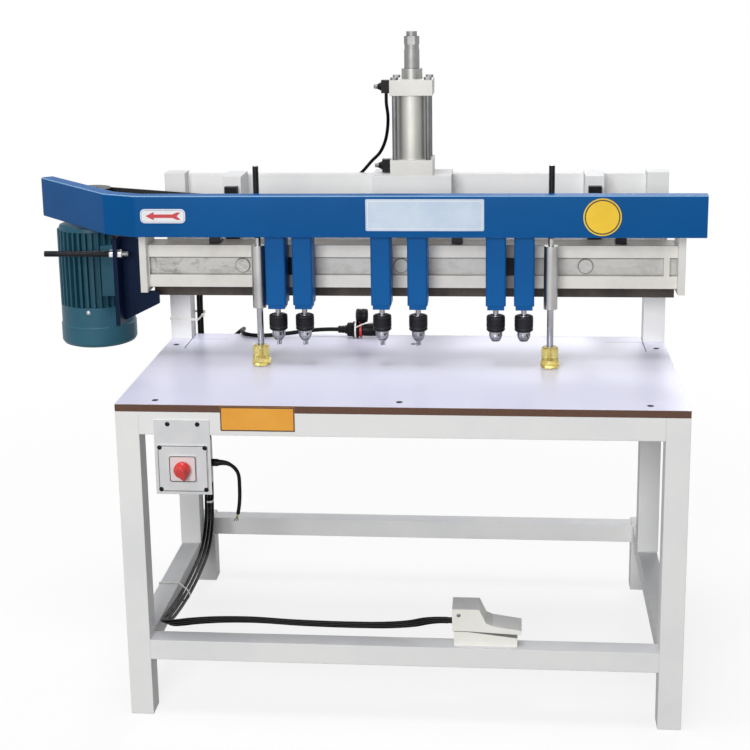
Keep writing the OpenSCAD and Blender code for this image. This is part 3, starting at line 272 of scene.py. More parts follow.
def painted(name, colour, shade, edge, round_over, roughness=0.42, grime=0.5, peel=0.04,
            gloss=0.4, fold=None, shaded_tops=None, bare=None):
    """Sprayed paint: cloudy tone, fine dirt specks, orange peel and an edge colour, where paler edges are
    painted highlight and darker edges are worn; a painted highlight along a fold between two heights;
    painted shade of a colour and share on upward faces; and bare steel above a height."""
    f = Finish(name, specular_ior_level=gloss)
    cloud, speck = f.noise(4.5, 5.0, 0.62), f.noise(420.0, 2.0)
    streak = f.noise(9.0, 3.0, 0.6, f.stretch((1.0, 1.0, 0.16)))
    tone = f.blend(cloud.rise(0.38, 0.72) * grime, colour, shade)
    dust_and_shade = f.blend(speck.rise(0.68, 0.8) * (grime * 0.5) * streak, tone, gained(shade, 0.6))
    # Upward faces blended towards a darker colour: painted shade.
    if shaded_tops is not None:
        dimming, share = shaded_tops
        tops = f.facing()[2].rise(0.3, 0.7) * cloud.rise(0.2, 0.65, 0.7, 1.0)
        dust_and_shade = f.blend(share * tops, dust_and_shade, dimming)
    bevel, lean = f.edges(round_over)
    # Edges take the edge colour: painted highlight where it is paler than the paint, wear where it is
    # darker.
    edge_tint = lean.rise(0.05, 0.26) * f.noise(60.0, 4.0, 0.7).rise(0.42, 0.66)
    # A pale line along the fold between two heights: painted highlight.
    if fold is not None:
        low, high = (at("z", height) for height in fold)
        z = f.place()[2]
        edge_tint = edge_tint.most(1.3 * z.over(low) * z.under(high))
    finished = f.blend(edge_tint * 0.55, dust_and_shade, edge)
    if bare is not None:
        steel = f.place()[2].over(at("z", bare))
        finished = f.blend(steel, finished, srgb(152, 152, 150))
        f.set(metallic=steel)
    f.set(base_color=finished, roughness=roughness + 0.14 * (cloud - 0.5) + 0.1 * edge_tint)
    f.relief(f.noise(260.0, 2.0) + 0.25 * speck, peel, bevel)
    return f.material


def metal(name, colour, shade, roughness=0.3, grain=(1, 1, 14), scale=90.0, round_over=1.0,
          deep=0.02):
    """Drawn or ground metal: fine lines across the stretched axis, cloudy tarnish, brighter edges."""
    f = Finish(name, metallic=1.0)
    lines = f.noise(scale, 4.0, 0.6, f.stretch(grain))
    tarnish = f.noise(14.0, 5.0, 0.6)
    bevel, lean = f.edges(round_over)
    base = f.blend(tarnish.rise(0.35, 0.75) * 0.7, colour, shade)
    f.set(base_color=f.blend(lean.rise(0.08, 0.3) * 0.5, base, gained(colour, 1.15)))
    f.set(roughness=roughness + 0.22 * (lines - 0.5) + 0.15 * (tarnish - 0.5))
    f.relief(lines, deep, bevel)
    return f.material


def moulded(name, colour, shade, roughness=0.4, grain=900.0, depth=0.02, round_over=0.8, coat=0.0,
            **constants):
    """Moulded plastic or rubber: fine pebble grain, faint cloudy tone and scuffed edges."""
    f = Finish(name, coat_roughness=0.08, **constants)
    cloud, pebble = f.noise(22.0, 4.0, 0.6), f.noise(grain, 2.0)
    bevel, lean = f.edges(round_over)
    scuff = lean.rise(0.06, 0.3) * f.noise(150.0, 3.0).rise(0.4, 0.7)
    base = f.blend(cloud.rise(0.3, 0.75) * 0.8, colour, shade)
    f.set(base_color=f.blend(scuff * 0.35, base, gained(colour, 1.5, 0.06)))
    f.set(roughness=roughness + 0.16 * (cloud - 0.5) + 0.06 * (pebble - 0.5) + 0.12 * scuff)
    f.set(coat_weight=coat * (1.0 - 0.5 * cloud) if coat else 0.0)
    f.relief(pebble, depth, bevel)
    return f.material


def laminate_finish():
    """Smooth lilac laminate above a brown fibre edge with a thin pale line at the top."""
    f = Finish("lilac_laminate", specular_ior_level=0.5)
    pale_line = f.place()[2].over(at("z", TABLE_H - 0.5))
    flat = f.facing()[2].size().rise(0.4, 0.6)
    cloud = f.noise(2.2, 4.0, 0.55)
    fibre = f.noise(500.0, 3.0, 0.6, f.stretch((0.3, 0.3, 1.0)))
    smear = f.noise(9.0, 4.0, 0.65, f.stretch((1.0, 2.4, 1.0)), 0.4)
    top = f.blend(cloud.rise(0.35, 0.7) * 0.5, srgb(228, 228, 248), srgb(220, 219, 241))
    edge = f.blend(fibre.rise(0.3, 0.7), srgb(98, 66, 50), srgb(78, 52, 38))
    side = f.blend(pale_line, edge, srgb(176, 160, 154))
    f.set(base_color=f.blend(flat, side, top))
    f.set(roughness=0.74 - flat * (0.46 - 0.1 * smear.rise(0.4, 0.75)))
    f.relief((1.0 - flat) * fibre + 0.02 * f.noise(900.0, 2.0), 0.25, f.edges(1.0)[0])
    return f.material


def beam_finish():
    """Ivory paint on the beam's rails, greyer and grimy in the long recess, ringed at the bosses, with
    painted shadow along the top of the recess and a fainter dark line along its bottom, painted shade on
    the low rear flange, grime and painted shadow on top under the cover, and painted shadow behind the
    close pairs of heads."""
    f = Finish("beam_ivory", specular_ior_level=0.2)
    x, y, z = f.place()
    cloud, speck = f.noise(7.0, 6.0, 0.68), f.noise(380.0, 2.0)
    mottle = f.noise(34.0, 5.0, 0.72, f.stretch((0.6, 1.0, 1.0)), 0.8)
    recess = (z.under(at("z", RECESS_HIGH)) * z.over(at("z", RECESS_LOW))
              * y.over(at("y", RECESS_FRONT)) * y.under(at("y", RECESS_BACK)))
    left_end = (at("x", 0.0) - x).rise(0.2, 0.62)
    rails = f.blend(cloud.rise(0.35, 0.7) * 0.6, srgb(226, 223, 215), srgb(204, 201, 193))
    grime = mottle.rise(0.42, 0.62) * (0.25 + 0.6 * left_end)
    sunk = f.blend(grime, srgb(208, 206, 201), srgb(140, 139, 137))
    # Painted shadow along the top of the recess, and a fainter dark line along its bottom.
    lip = z.over(at("z", RECESS_HIGH - 5.0)) + 0.5 * z.under(at("z", RECESS_LOW + 3.0))
    body = f.blend(recess, rails, f.blend(0.65 * lip, sunk, srgb(92, 90, 87)))
    # The low rear flange is darkened: painted shade.
    flange = z.under(at("z", FLANGE_TOP))
    flange_shade = f.blend(cloud.rise(0.3, 0.7), srgb(84, 76, 70), srgb(52, 47, 44))
    # The beam's top under the cover is darkened: grime and painted shadow.
    crown = 0.85 * z.over(at("z", BEAM_TOP))
    dust_and_shade = f.blend(cloud.rise(0.3, 0.7), srgb(80, 75, 71), srgb(58, 54, 51))
    bevel, lean = f.edges(1.6)
    edge_tint = lean.rise(0.05, 0.25) * f.noise(70.0, 4.0, 0.7).rise(0.45, 0.65)
    ring_from, ring_to, pair_reach = 0.0155, 0.018, 0.034
    ring = behind = 0.0
    for boss in BEAM_BOSS_X:
        across, up = x - at("x", boss), z - at("z", BEAM_BOSS_Z)
        away = (across * across + up * up).root()
        ring = ring + away.over(ring_from) * away.under(ring_to)
    # Painted shadow behind each close pair of heads.
    for first, second in CLOSE_PAIRS:
        behind = behind + (x - at("x", (first + second) / 2)).size().under(pair_reach)
    whole = f.blend(crown, f.blend(flange, body, flange_shade), dust_and_shade)
    whole = f.blend(0.6 * ring, whole, srgb(74, 72, 70))
    whole = f.blend(0.6 * behind, whole, srgb(70, 69, 68))
    f.set(base_color=f.blend(edge_tint * 0.45, whole, srgb(150, 147, 142)))
    f.set(roughness=0.42 + 0.2 * (cloud - 0.5) + 0.12 * recess * mottle)
    f.relief(f.noise(240.0, 2.0) + 0.3 * speck + 0.8 * recess * mottle, 0.05, bevel)
    return f.material


def chuck_finish(name, spindle_x):
    """Black oxide outside a radius about the spindle's axis, bright chrome inside it, painted shade in the
    bore.
    """
    f = Finish(name)
    sleeve_r, bore_r, bore_z = 0.01512, 0.0112, 778.0
    x, y, z = f.place()
    across, deep = x - at("x", spindle_x), y - at("y", SPINDLE_Y)
    radius = (across * across + deep * deep).root()
    sleeve = radius.over(sleeve_r)
    # Near the axis, above a height, the steel is darkened: painted shade inside the bore.
    shaded_bore = radius.under(bore_r) * z.over(at("z", bore_z))
    lines, cloud = f.noise(160.0, 3.0, 0.6, f.stretch((1, 1, 12))), f.noise(60.0, 4.0)
    nose = f.blend(cloud.rise(0.35, 0.7), srgb(184, 185, 187), srgb(120, 122, 125))
    steel = f.blend(shaded_bore, nose, srgb(38, 38, 40))
    f.set(base_color=f.blend(sleeve, steel, srgb(30, 30, 32)), metallic=1.0 - 0.65 * sleeve)
    f.set(roughness=0.2 + 0.2 * (lines - 0.5) + 0.22 * sleeve)
    f.relief(lines, 0.02, f.edges(0.8)[0])
    return f.material


def cord_finish(name, colour, shade, roughness=0.4):
    """Smooth hose or cable jacket: faint rings along its length, dull scuffs and a soft gloss."""
    f = Finish(name, specular_ior_level=0.1)
    rings = (f.attribute("along") * 1900.0).wave()
    scuff, fine = f.noise(30.0, 4.0, 0.65), f.noise(800.0, 2.0)
    f.set(base_color=f.blend(scuff.rise(0.45, 0.75), colour, shade))
    f.set(roughness=roughness + 0.25 * (scuff - 0.45))
    f.relief(0.05 * rings + fine, 0.03)
    return f.material


def pad_finish():
    """Clear yellow polyurethane with a faint cloudy depth and scuffed faces."""
    f = Finish("pad_amber", transmission_weight=0.85, ior=1.45, specular_ior_level=0.5)
    cloud, fine = f.noise(40.0, 4.0, 0.6), f.noise(700.0, 2.0)
    f.set(base_color=f.blend(cloud.rise(0.3, 0.7), srgb(255, 242, 158), srgb(250, 228, 122)))
    f.set(roughness=0.12 + 0.14 * (cloud - 0.4))
    f.relief(fine + cloud, 0.02)
    return f.material


def printed(name, colour, shade):
    """Printed film: faint fade and specks of dirt over one ink, with a film's tiny waves."""
    f = Finish(name, specular_ior_level=0.5)
    fade, dimming, ripple = f.noise(12.0, 4.0, 0.6), f.noise(260.0, 3.0, 0.6), f.noise(26.0, 2.0)
    tone = f.blend(fade.rise(0.32, 0.75), colour, shade)
    f.set(base_color=f.blend(dimming.rise(0.62, 0.78) * 0.3, tone, gained(shade, 0.72)))
    f.set(roughness=0.32 + 0.2 * (fade - 0.5))
    f.relief(ripple, 0.04)
    return f.material


def barrel_finish():
    """Satin drawn aluminium with fine lines up the barrel and a darker cloudy film."""
    f = Finish("barrel_satin", metallic=1.0)
    lines = f.noise(240.0, 3.0, 0.6, f.stretch((1, 1, 0.02)))
    cloud = f.noise(16.0, 4.0, 0.6, f.stretch((1, 1, 0.3)))
    f.set(base_color=f.blend(cloud.rise(0.3, 0.7), srgb(180, 179, 173), srgb(164, 163, 157)))
    f.set(roughness=0.48 + 0.2 * (lines - 0.5) + 0.1 * (cloud - 0.5))
    f.relief(lines, 0.03)
    return f.material


# The frame white, cylinder caps and pedal casting are darker on upward faces: painted shade.
WHITE = painted("frame_white", srgb(238, 238, 237), srgb(224, 225, 226), srgb(252, 252, 252), 2.2,
                gloss=0.12, shaded_tops=(srgb(198, 199, 203), 0.75))
IVORY = painted("ivory_paint", srgb(230, 228, 221), srgb(211, 209, 202), srgb(160, 158, 152), 1.6,
                grime=0.6, gloss=0.15)
CAP_IVORY = painted("cap_ivory", srgb(236, 234, 228), srgb(212, 211, 205), srgb(160, 159, 155), 2.0,
                    grime=0.7, peel=0.1, shaded_tops=(srgb(196, 195, 191), 0.7), bare=CAP_TOP + 0.2)
# Pale edge colours on the frame white, cover, heads, motor teals, bracket and casting are painted
# highlight; the cover's fold line is a painted highlight.
COVER_BLUE = painted("cover_blue", srgb(11, 85, 147), srgb(9, 76, 135), srgb(150, 188, 222), 2.4,
                     gloss=0.07, fold=(COVER_TOP - 2.8, COVER_TOP - 0.5))
HEAD_BLUE = painted("head_blue", srgb(12, 89, 153), srgb(10, 78, 138), srgb(84, 132, 184), 2.0,
                    peel=0.05, gloss=0.12)
TEAL = painted("motor_teal", srgb(38, 86, 104), srgb(28, 70, 88), srgb(110, 142, 152), 1.4,
               grime=0.7, peel=0.1, gloss=0.2)
COWL_TEAL = painted("cowl_teal", srgb(48, 98, 116), srgb(38, 84, 102), srgb(118, 150, 160), 1.8,
                    roughness=0.4, grime=0.6, peel=0.05, gloss=0.25)
# The bracket is the cover's blue darkened to painted shade.
BRACKET_SHADE_BLUE = painted("bracket_blue_in_shade", srgb(6, 24, 52), srgb(4, 17, 40), srgb(86, 118, 158), 1.6,
               grime=0.6, peel=0.06, gloss=0.1)
CASTING = painted("silver_casting", srgb(247, 246, 239), srgb(230, 229, 221), srgb(254, 254, 250), 1.6,
                  roughness=0.4, grime=0.7, peel=0.15, gloss=0.3, shaded_tops=(srgb(158, 159, 158), 0.9))
GROUND_STEEL = metal("ground_steel", srgb(168, 169, 170), srgb(132, 133, 135))
SATIN_TUBE = metal("satin_tube", srgb(178, 178, 176), srgb(150, 150, 149), 0.34, (1, 1, 0.05), 200.0)
SLEEVE_STEEL = metal("sleeve_steel", srgb(148, 148, 147), srgb(120, 120, 120), 0.5, (1, 1, 0.3), 120.0)
CHROME = metal("hard_chrome", srgb(166, 167, 170), srgb(134, 135, 139), 0.16, (1, 1, 9), 120.0,
               round_over=0.6, deep=0.006)
ZINC = metal("dull_zinc", srgb(120, 121, 122), srgb(84, 84, 86), 0.42, (1, 1, 1), 200.0, 0.6)
BOLT_ZINC = metal("bright_zinc", srgb(212, 213, 214), srgb(176, 177, 180), 0.28, (1, 1, 1), 200.0, 0.6)
SPRING = metal("spring_wire", srgb(96, 97, 100), srgb(66, 66, 70), 0.36, (1, 1, 1), 150.0, 0.4)
RAIL_BLACK = metal("rail_oxide", srgb(44, 44, 47), srgb(24, 24, 27), 0.38, (1, 1, 0.1), 160.0)
BLACK_PLASTIC = moulded("matt_black", srgb(18, 18, 20), srgb(10, 10, 12), 0.42,
                        specular_ior_level=0.15)
GREY_PLASTIC = moulded("switch_grey", srgb(218, 219, 220), srgb(206, 207, 209), 0.4, 700.0, 0.03, 1.2)
RED_PLASTIC = moulded("knob_red", srgb(214, 36, 32), srgb(188, 24, 22), 0.26, 500.0, 0.01, 1.0, 0.5)
RING_RED = moulded("ring_red", srgb(190, 40, 34), srgb(160, 28, 24))
BELT_RUBBER = moulded("belt_rubber", srgb(24, 24, 24), srgb(36, 35, 34), 0.7, 600.0, 0.1)
TIE_WHITE = moulded("tie_white", srgb(236, 236, 232), srgb(214, 214, 208), 0.4, 500.0, 0.02, 0.3)
HOSE_BLACK = cord_finish("hose_black", srgb(6, 6, 7), srgb(16, 16, 17), 0.32)
CABLE_BLACK = cord_finish("cable_black", srgb(8, 8, 9), srgb(18, 18, 20))
CORE_FINISHES = {
    "brown": cord_finish("core_brown", srgb(120, 66, 40), srgb(92, 50, 32)),
    "blue": cord_finish("core_blue", srgb(60, 104, 186), srgb(44, 84, 160)),
    "green": cord_finish("core_green", srgb(176, 190, 70), srgb(100, 140, 60)),
}
PAD_AMBER = pad_finish()
LAMINATE = laminate_finish()
BEAM_IVORY = beam_finish()
BARREL = barrel_finish()
FILM_WHITE = printed("film_white", srgb(238, 239, 240), srgb(226, 228, 230))
FILM_PALE = printed("film_pale", srgb(206, 220, 234), srgb(188, 205, 224))
FILM_YELLOW = printed("film_yellow", srgb(246, 206, 48), srgb(236, 192, 38))
FILM_DARK = printed("film_dark", srgb(46, 36, 30), srgb(62, 50, 42))
FILM_RED = printed("film_red", srgb(204, 66, 70), srgb(190, 56, 62))
FILM_ROSE = printed("film_rose", srgb(228, 214, 215), srgb(220, 204, 206))
FILM_LINE_BLUE = printed("film_blue", srgb(70, 110, 170), srgb(56, 94, 150))
FILM_ORANGE = printed("film_orange", srgb(238, 168, 58), srgb(230, 156, 46))

CAD_FINISHES = {
    LAMINATE: ("worktop",),
    WHITE: ("front_legs", "top_rails", "stretchers", "rear_feet", "columns", "crossbeam",
            "guide_posts", "cylinder_bracket"),
    IVORY: ("beam_end_plates", "lift_arm"),
    BEAM_IVORY: ("beam",),
    RAIL_BLACK: ("guide_rails", "motor_shaft"),
    CAP_IVORY: ("cylinder_caps",),
    BARREL: ("cylinder_barrel",),
    ZINC: ("frame_screws", "tie_rods", "bracket_bolts"),
    BLACK_PLASTIC: ("flow_fittings", "hose_and_cord_fittings", "mains_plug"),
    GREY_PLASTIC: ("switch_box",),
    RED_PLASTIC: ("switch_knob",),
    FILM_ORANGE: ("notice_plate",),
    CASTING: ("pedal_base", "pedal_tread"),
    HOSE_BLACK: ("air_hoses", "switch_lead", "mains_lead"),
    SLEEVE_STEEL: ("stop_sleeve", "piston_rod"),
    GROUND_STEEL: ("guide_carriages", "spindle_bearings", *(f"spindle_{i}" for i in range(1, 7))),
    CHROME: ("press_rod_left", "press_rod_right"),
    SATIN_TUBE: ("press_tubes",),
    PAD_AMBER: ("press_pad_left", "press_pad_right"),
    HEAD_BLUE: ("boring_heads",),
    COVER_BLUE: ("belt_cover",),
    TEAL: ("motor_body",),
    COWL_TEAL: ("motor_cowl",),
    BRACKET_SHADE_BLUE: ("motor_bracket",),
    BELT_RUBBER: ("drive_belts",),
    FILM_PALE: ("cover_labels",),
}


def dress(node, finish):
    """Puts a finish in every material slot of a CAD node."""
    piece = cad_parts[node]
    if not piece.material_slots:
        piece.data.materials.append(finish)
    for material_slot in piece.material_slots:
        material_slot.material = finish


def dress_nodes():
    """Each carried-over node gets its finish; each chuck gets one centred on its own axis."""
    for finish, nodes in CAD_FINISHES.items():
        for node in nodes:
            dress(node, finish)
    for i, x in enumerate(SPINDLE_X, 1):
        dress(f"chuck_{i}", chuck_finish(f"chuck_steel_{i}", x))


dress_nodes()


# Meshes from arrays

def quads(rows, columns, closed_rows=False):
    """Faces of a grid of closed rows: a point, the next in its row and the same two in the next row."""
    row = np.arange(rows if closed_rows else rows - 1)
    r, c = np.meshgrid(row, np.arange(columns), indexing="ij")
    r2, c2 = (r + 1) % rows, (c + 1) % columns
    corners = [r * columns + c, r * columns + c2, r2 * columns + c2, r2 * columns + c]
    return np.stack(corners, axis=-1).reshape(-1, 4)


def put(name, shape, body, finish, replaces=(), along=None, crease=38):
    """A mesh object at the origin with its place in its points, riding on a body."""
    points, groups = shape
    faces = [face for group in groups for face in np.asarray(group).tolist()]
    mesh = bpy.data.meshes.new(name)
    mesh.from_pydata(metres(points), [], faces)
    if along is None:
        work = bmesh.new()
        work.from_mesh(mesh)
        bmesh.ops.remove_doubles(work, verts=work.verts, dist=1e-6)
        bmesh.ops.recalc_face_normals(work, faces=work.faces)
        work.to_mesh(mesh)
        work.free()
    else:
        run = mesh.attributes.new("along", "FLOAT", "POINT")
        run.data.foreach_set("value", np.asarray(along, np.float32))
    mesh.polygons.foreach_set("use_smooth", np.ones(len(mesh.polygons), bool))
    mesh.set_sharp_from_angle(angle=math.radians(crease))
    mesh.materials.append(finish)
    piece = bpy.data.objects.new(name, mesh)
    bpy.context.scene.collection.objects.link(piece)
    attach(piece, body)
    if replaces:
        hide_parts(*replaces)
    return piece


def joined(*shapes):
    """Several (points, face groups) shapes as one, each with its face numbers moved past the last."""
    starts = np.cumsum([0] + [len(points) for points, _ in shapes[:-1]])
    groups = [np.asarray(group) + start for start, (_, own) in zip(starts, shapes) for group in own]
    return np.concatenate([points for points, _ in shapes]), groups


def reach_along(points):
    """The distance along a line of points to each of them: the running sum of its steps."""
    steps = np.linalg.norm(np.diff(points, axis=0), axis=1)
    return np.concatenate([[0.0], np.cumsum(steps)])


def smooth_line(points, spacing):
    """A cubic through the points: each stretch blends its ends and the slopes there, by chord length."""
    p = np.asarray(points, float)
    reach = reach_along(p)
    slope = np.gradient(p, reach, axis=0)
    s = np.linspace(0.0, reach[-1], int(reach[-1] / spacing) + 2)
    i = np.clip(np.searchsorted(reach, s, side="right") - 1, 0, len(p) - 2)
    span = (reach[i + 1] - reach[i])[:, None]
    u = (s - reach[i])[:, None] / span
    return ((1 + 2 * u) * (1 - u) ** 2 * p[i] + u * (1 - u) ** 2 * span * slope[i]
            + u ** 2 * (3 - 2 * u) * p[i + 1] + u ** 2 * (u - 1) * span * slope[i + 1])


def carried_normals(path):
    """Two unit vectors square to the path at each point, carried along it without twist."""
    along = np.gradient(path, axis=0)
    along /= np.linalg.norm(along, axis=1)[:, None]
    side = np.empty_like(path)
    last = np.array([0.31, 0.42, 0.85])
    for i, direction in enumerate(along):
        last = last - np.dot(last, direction) * direction
        last = last / np.linalg.norm(last)
        side[i] = last
    return side, np.cross(along, side)


def turns(sides):
    """Equal angles round a circle."""
    return np.linspace(0, 2 * np.pi, sides, endpoint=False)


def tube(path, radius, sides=14):
    """Rings of the given radius round a path, closed by a point in the middle of each end."""
    path = np.asarray(path, float)
    side, other = carried_normals(path)
    angle = turns(sides)[None, :, None]
    ring = np.cos(angle) * side[:, None] + np.sin(angle) * other[:, None]
    radius = np.broadcast_to(np.asarray(radius, float), len(path))
    points = (path[:, None] + radius[:, None, None] * ring).reshape(-1, 3)
    first, last, end = len(points), len(points) + 1, (len(path) - 1) * sides
    k = np.arange(sides)
    start_fan = np.stack([np.full(sides, first), (k + 1) % sides, k], axis=1)
    end_fan = np.stack([np.full(sides, last), end + k, end + (k + 1) % sides], axis=1)
    return np.concatenate([points, path[:1], path[-1:]]), [quads(len(path), sides), start_fan, end_fan]


def tube_run(path, sides=14):
    """Distance along the path in metres for each point of a tube on it."""
    reach = reach_along(path) / 1000.0
    return np.concatenate([np.repeat(reach, sides), reach[:1], reach[-1:]])


AXES = {"z": np.eye(3), "x": np.array([[0, 1, 0], [0, 0, 1], [1, 0, 0]]),
        "-x": np.array([[0, 0, 1], [0, 1, 0], [-1, 0, 0]]),
        "y": np.array([[0, 0, 1], [1, 0, 0], [0, 1, 0]]),
        "-y": np.array([[1, 0, 0], [0, 0, 1], [0, -1, 0]])}


def stood(local, centre, axis):
    """Points built round the Z axis, turned to another axis and moved to a centre."""
    return local @ AXES[axis] + np.asarray(centre, float)


def lathe(profile, centre, axis="z", sides=64, relief=None):
    """A profile of (radius, height) turned about an axis; relief(angle, height) adds to the radius."""
    profile = np.asarray(profile, float)
    angle = turns(sides)
    radius = np.repeat(profile[:, :1], sides, axis=1)
    height = np.repeat(profile[:, 1:], sides, axis=1)
    if relief is not None:
        radius = radius + relief(np.broadcast_to(angle, radius.shape), height) * (radius > 0)
    local = np.stack([radius * np.cos(angle), radius * np.sin(angle), height], axis=-1)
    return stood(local.reshape(-1, 3), centre, axis), [quads(len(profile), sides)]


def finer(profile, spacing):
    """A profile with points added along each stretch no further apart than the spacing."""
    p = np.asarray(profile, float)
    steps = np.linalg.norm(np.diff(p, axis=0), axis=1)
    counts = np.maximum(1, np.ceil(steps / spacing).astype(int))
    runs = [p[i] + (p[i + 1] - p[i]) * np.linspace(0, 1, n, endpoint=False)[:, None]
            for i, n in enumerate(counts)]
    return np.concatenate(runs + [p[-1:]])


def rounded_outline(width, height, corner, steps=6):
    """A rectangle with round corners, anticlockwise: a quarter circle about each corner's centre."""
    angle = np.linspace(0, np.pi / 2, steps)
    quarter = np.stack([np.cos(angle), np.sin(angle)], axis=1) * corner
    quarter_turns = [np.array([[c, s], [-s, c]]) for c, s in ((1, 0), (0, 1), (-1, 0), (0, -1))]
    reach = np.array([width / 2 - corner, height / 2 - corner])
    signs = np.array([[1, 1], [-1, 1], [-1, -1], [1, -1]])
    return np.concatenate([quarter @ turn + reach * sign for turn, sign in zip(quarter_turns, signs)])


def circle_outline(radius):
    """Points at equal angles on a circle."""
    angle = turns(72)
    return radius * np.stack([np.cos(angle), np.sin(angle)], axis=1)


def upright(outline, middle, y):
    """An outline of (across, up) placed on an upright plane."""
    x, z = outline[:, 0] + middle[0], outline[:, 1] + middle[1]
    return np.stack([x, np.full(len(outline), y), z], axis=1)


def level(outline, middle, z):
    """An outline of (across, deep) placed on a level plane."""
    return np.column_stack([outline + np.asarray(middle, float), np.full(len(outline), z)])


def prism(first, second):
    """Two matching loops of points joined by a wall, each closed by one flat face."""
    ring = np.arange(len(first))[None]
    return np.concatenate([first, second]), [quads(2, len(first)), ring + len(first), ring[:, ::-1]]


def front_band(outer, inner, middle, back, front, plane=upright):
    """A flat band between two outlines on an upright or level plane, from its back to its front."""
    loops = [(outer, back), (outer, front), (inner, front), (inner, back)]
    points = np.concatenate([plane(outline, middle, height) for outline, height in loops])
    return points, [quads(4, len(outer), closed_rows=True)]


def front_plate(outline, middle, back, front):
    """An outline on an upright face as a thin plate with a front and a rim."""
    return prism(upright(outline, middle, back), upright(outline, middle, front))


def block(low, high):
    """A box with its upright edges rounded, from its lowest to its highest corner."""
    low, high = np.asarray(low, float), np.asarray(high, float)
    outline = rounded_outline(high[0] - low[0], high[1] - low[1], 0.8, 4)
    middle = (low[:2] + high[:2]) / 2
    return prism(level(outline, middle, low[2]), level(outline, middle, high[2]))


def dome_screw(centre, axis, radius, rise):
    """A domed head with a cross recess: height falls with the radius squared, less a cut by two lines."""
    rows, sides = 14, 48
    share, angle = np.meshgrid(np.linspace(0, 1, rows), turns(sides), indexing="ij")
    x, y = radius * share * np.cos(angle), radius * share * np.sin(angle)
    wide, long = 0.16 * radius, 0.62 * radius
    upward = (np.abs(x) < wide) & (np.abs(y) < long)
    sideways = (np.abs(y) < wide) & (np.abs(x) < long)
    z = rise * (1 - 0.75 * share ** 2) - 0.6 * rise * (upward | sideways)
    rim = np.stack([x[-1], y[-1], np.zeros(sides)], axis=1)
    local = np.concatenate([np.stack([x, y, z], axis=-1).reshape(-1, 3), rim, 0 * rim])
    return stood(local, centre, axis), [quads(rows + 2, sides)]


def hex_head(centre, axis, radius, height):
    """A six-sided head, its top corners cut round: the radius follows the hexagon, capped by a cone."""
    sides = 72
    angle = turns(sides)
    sector = (angle + np.pi / 6) % (np.pi / 3) - np.pi / 6
    flat = radius * math.cos(math.pi / 6) / np.cos(sector)
    capped, none = np.minimum(flat, radius * 0.93), np.zeros(sides)
    rings = [(none, 0.0), (flat, 0.0), (flat, height - 0.12 * radius), (capped, height), (none, height)]
    local = np.concatenate([np.stack([r * np.cos(angle), r * np.sin(angle), np.full(sides, z)], axis=1)
                            for r, z in rings])
    return stood(local, centre, axis), [quads(len(rings), sides)]


# Cords and hoses

HOSE_D, SWITCH_LEAD_D, MAINS_D = 8.0, 8.0, 10.0
HOSE_STEP, PORT_STUB = 6.6, 14
PEDAL_PORT = np.array([100.0, 43.0, 221.0])
BUNDLE = np.array([
    [58, 45.5, 217.5], [22, 51, 207.5], [-30, 55, 200.5], [-100, 57, 198], [-226, 58, 199],
    [-340, 58, 203.5], [-420, 58, 201], [-470, 58.4, 196], [-496, 60, 191.5], [-517, 65.6, 187],
    [-532.4, 81, 182], [-538, 102, 176], [-538, 150, 167], [-538, 220, 157], [-538, 300, 150],
    [-538, 450, 150], [-538, 530, 159], [-538, 576, 181], [-538, 604, 216], [-538, 616, 266],
    [-538, 616, 420]], float)
HOSE_ENDS = {
    "top_hose": (-1, [
        [-544, 610, 560], [-544, 612, 700], [-544, 622, 860], [-538, 632, 960], [-480, 636, 1020],
        [-300, 636, 1060], [-170, 632, 1085], [-128, 624, 1118], [-104, 612, 1145], [-82, 596, 1168],
        [-68, 580, 1196], [-60, 564, 1230], [-58, 554, 1262], [-61, 549, 1292], [-61, 549, 1315]]),
    "base_hose": (0, [
        [-538, 616, 560], [-538, 620, 700], [-536, 632, 860], [-524, 640, 940], [-470, 644, 990],
        [-280, 644, 1030], [-150, 643, 1056], [-104, 641, 1080], [-80, 636, 1108], [-67, 622, 1131],
        [-62, 600, 1143], [-61, 578, 1144.5], [-61, 560, 1144]]),
    "inlet_hose": (1, [
        [-533, 625, 470], [-542, 625, 516], [-556, 621, 554], [-568, 617, 582], [-574, 615.3, 600],
        [-575, 615, 614]]),
}
SWITCH_ROUTE = [
    [-390, 30, 578], [-380, 30, 578], [-370.9, 30, 576.8], [-362.5, 30, 573.3], [-355.3, 30, 567.7],
    [-349.7, 30, 560.5], [-346.2, 30, 552.1], [-345, 30, 543], [-344.6, 29, 525], [-344.6, 27.5, 505],
    [-346, 26, 485], [-349.5, 25, 464]]
MAINS_ROUTE = [
    [-502, 612, 659], [-502, 624, 659], [-499.9, 639.7, 660.9], [-494, 653.6, 666.2],
    [-484.9, 663.8, 674.4], [-473.7, 669.3, 684.4], [-461.8, 669.3, 695.1], [-450.7, 663.8, 705.1],
    [-441.6, 653.6, 713.3], [-435.6, 639.7, 718.6], [-433.6, 624, 720.5], [-433.6, 612, 720.5],
    [-431.2, 597.2, 720.5], [-424.4, 583.8, 720.5], [-413.8, 573.2, 720.5], [-400.4, 566.3, 720.5],
    [-385.6, 564, 720.5], [-349.7, 565.1, 722], [-313.7, 567.9, 725.6], [-277.8, 571.1, 729.9],
    [-241.9, 573.9, 733.5], [-206, 575, 735], [-190, 575, 735]]


def lay_cord(name, route, diameter, finish, node, with_pieces=()):
    """A tube along the smooth line through a route, with the distance along it kept on its points."""
    path = smooth_line(route, diameter * 0.8)
    piece = put(name, tube(path, diameter / 2), "frame", finish, (node,), tube_run(path))


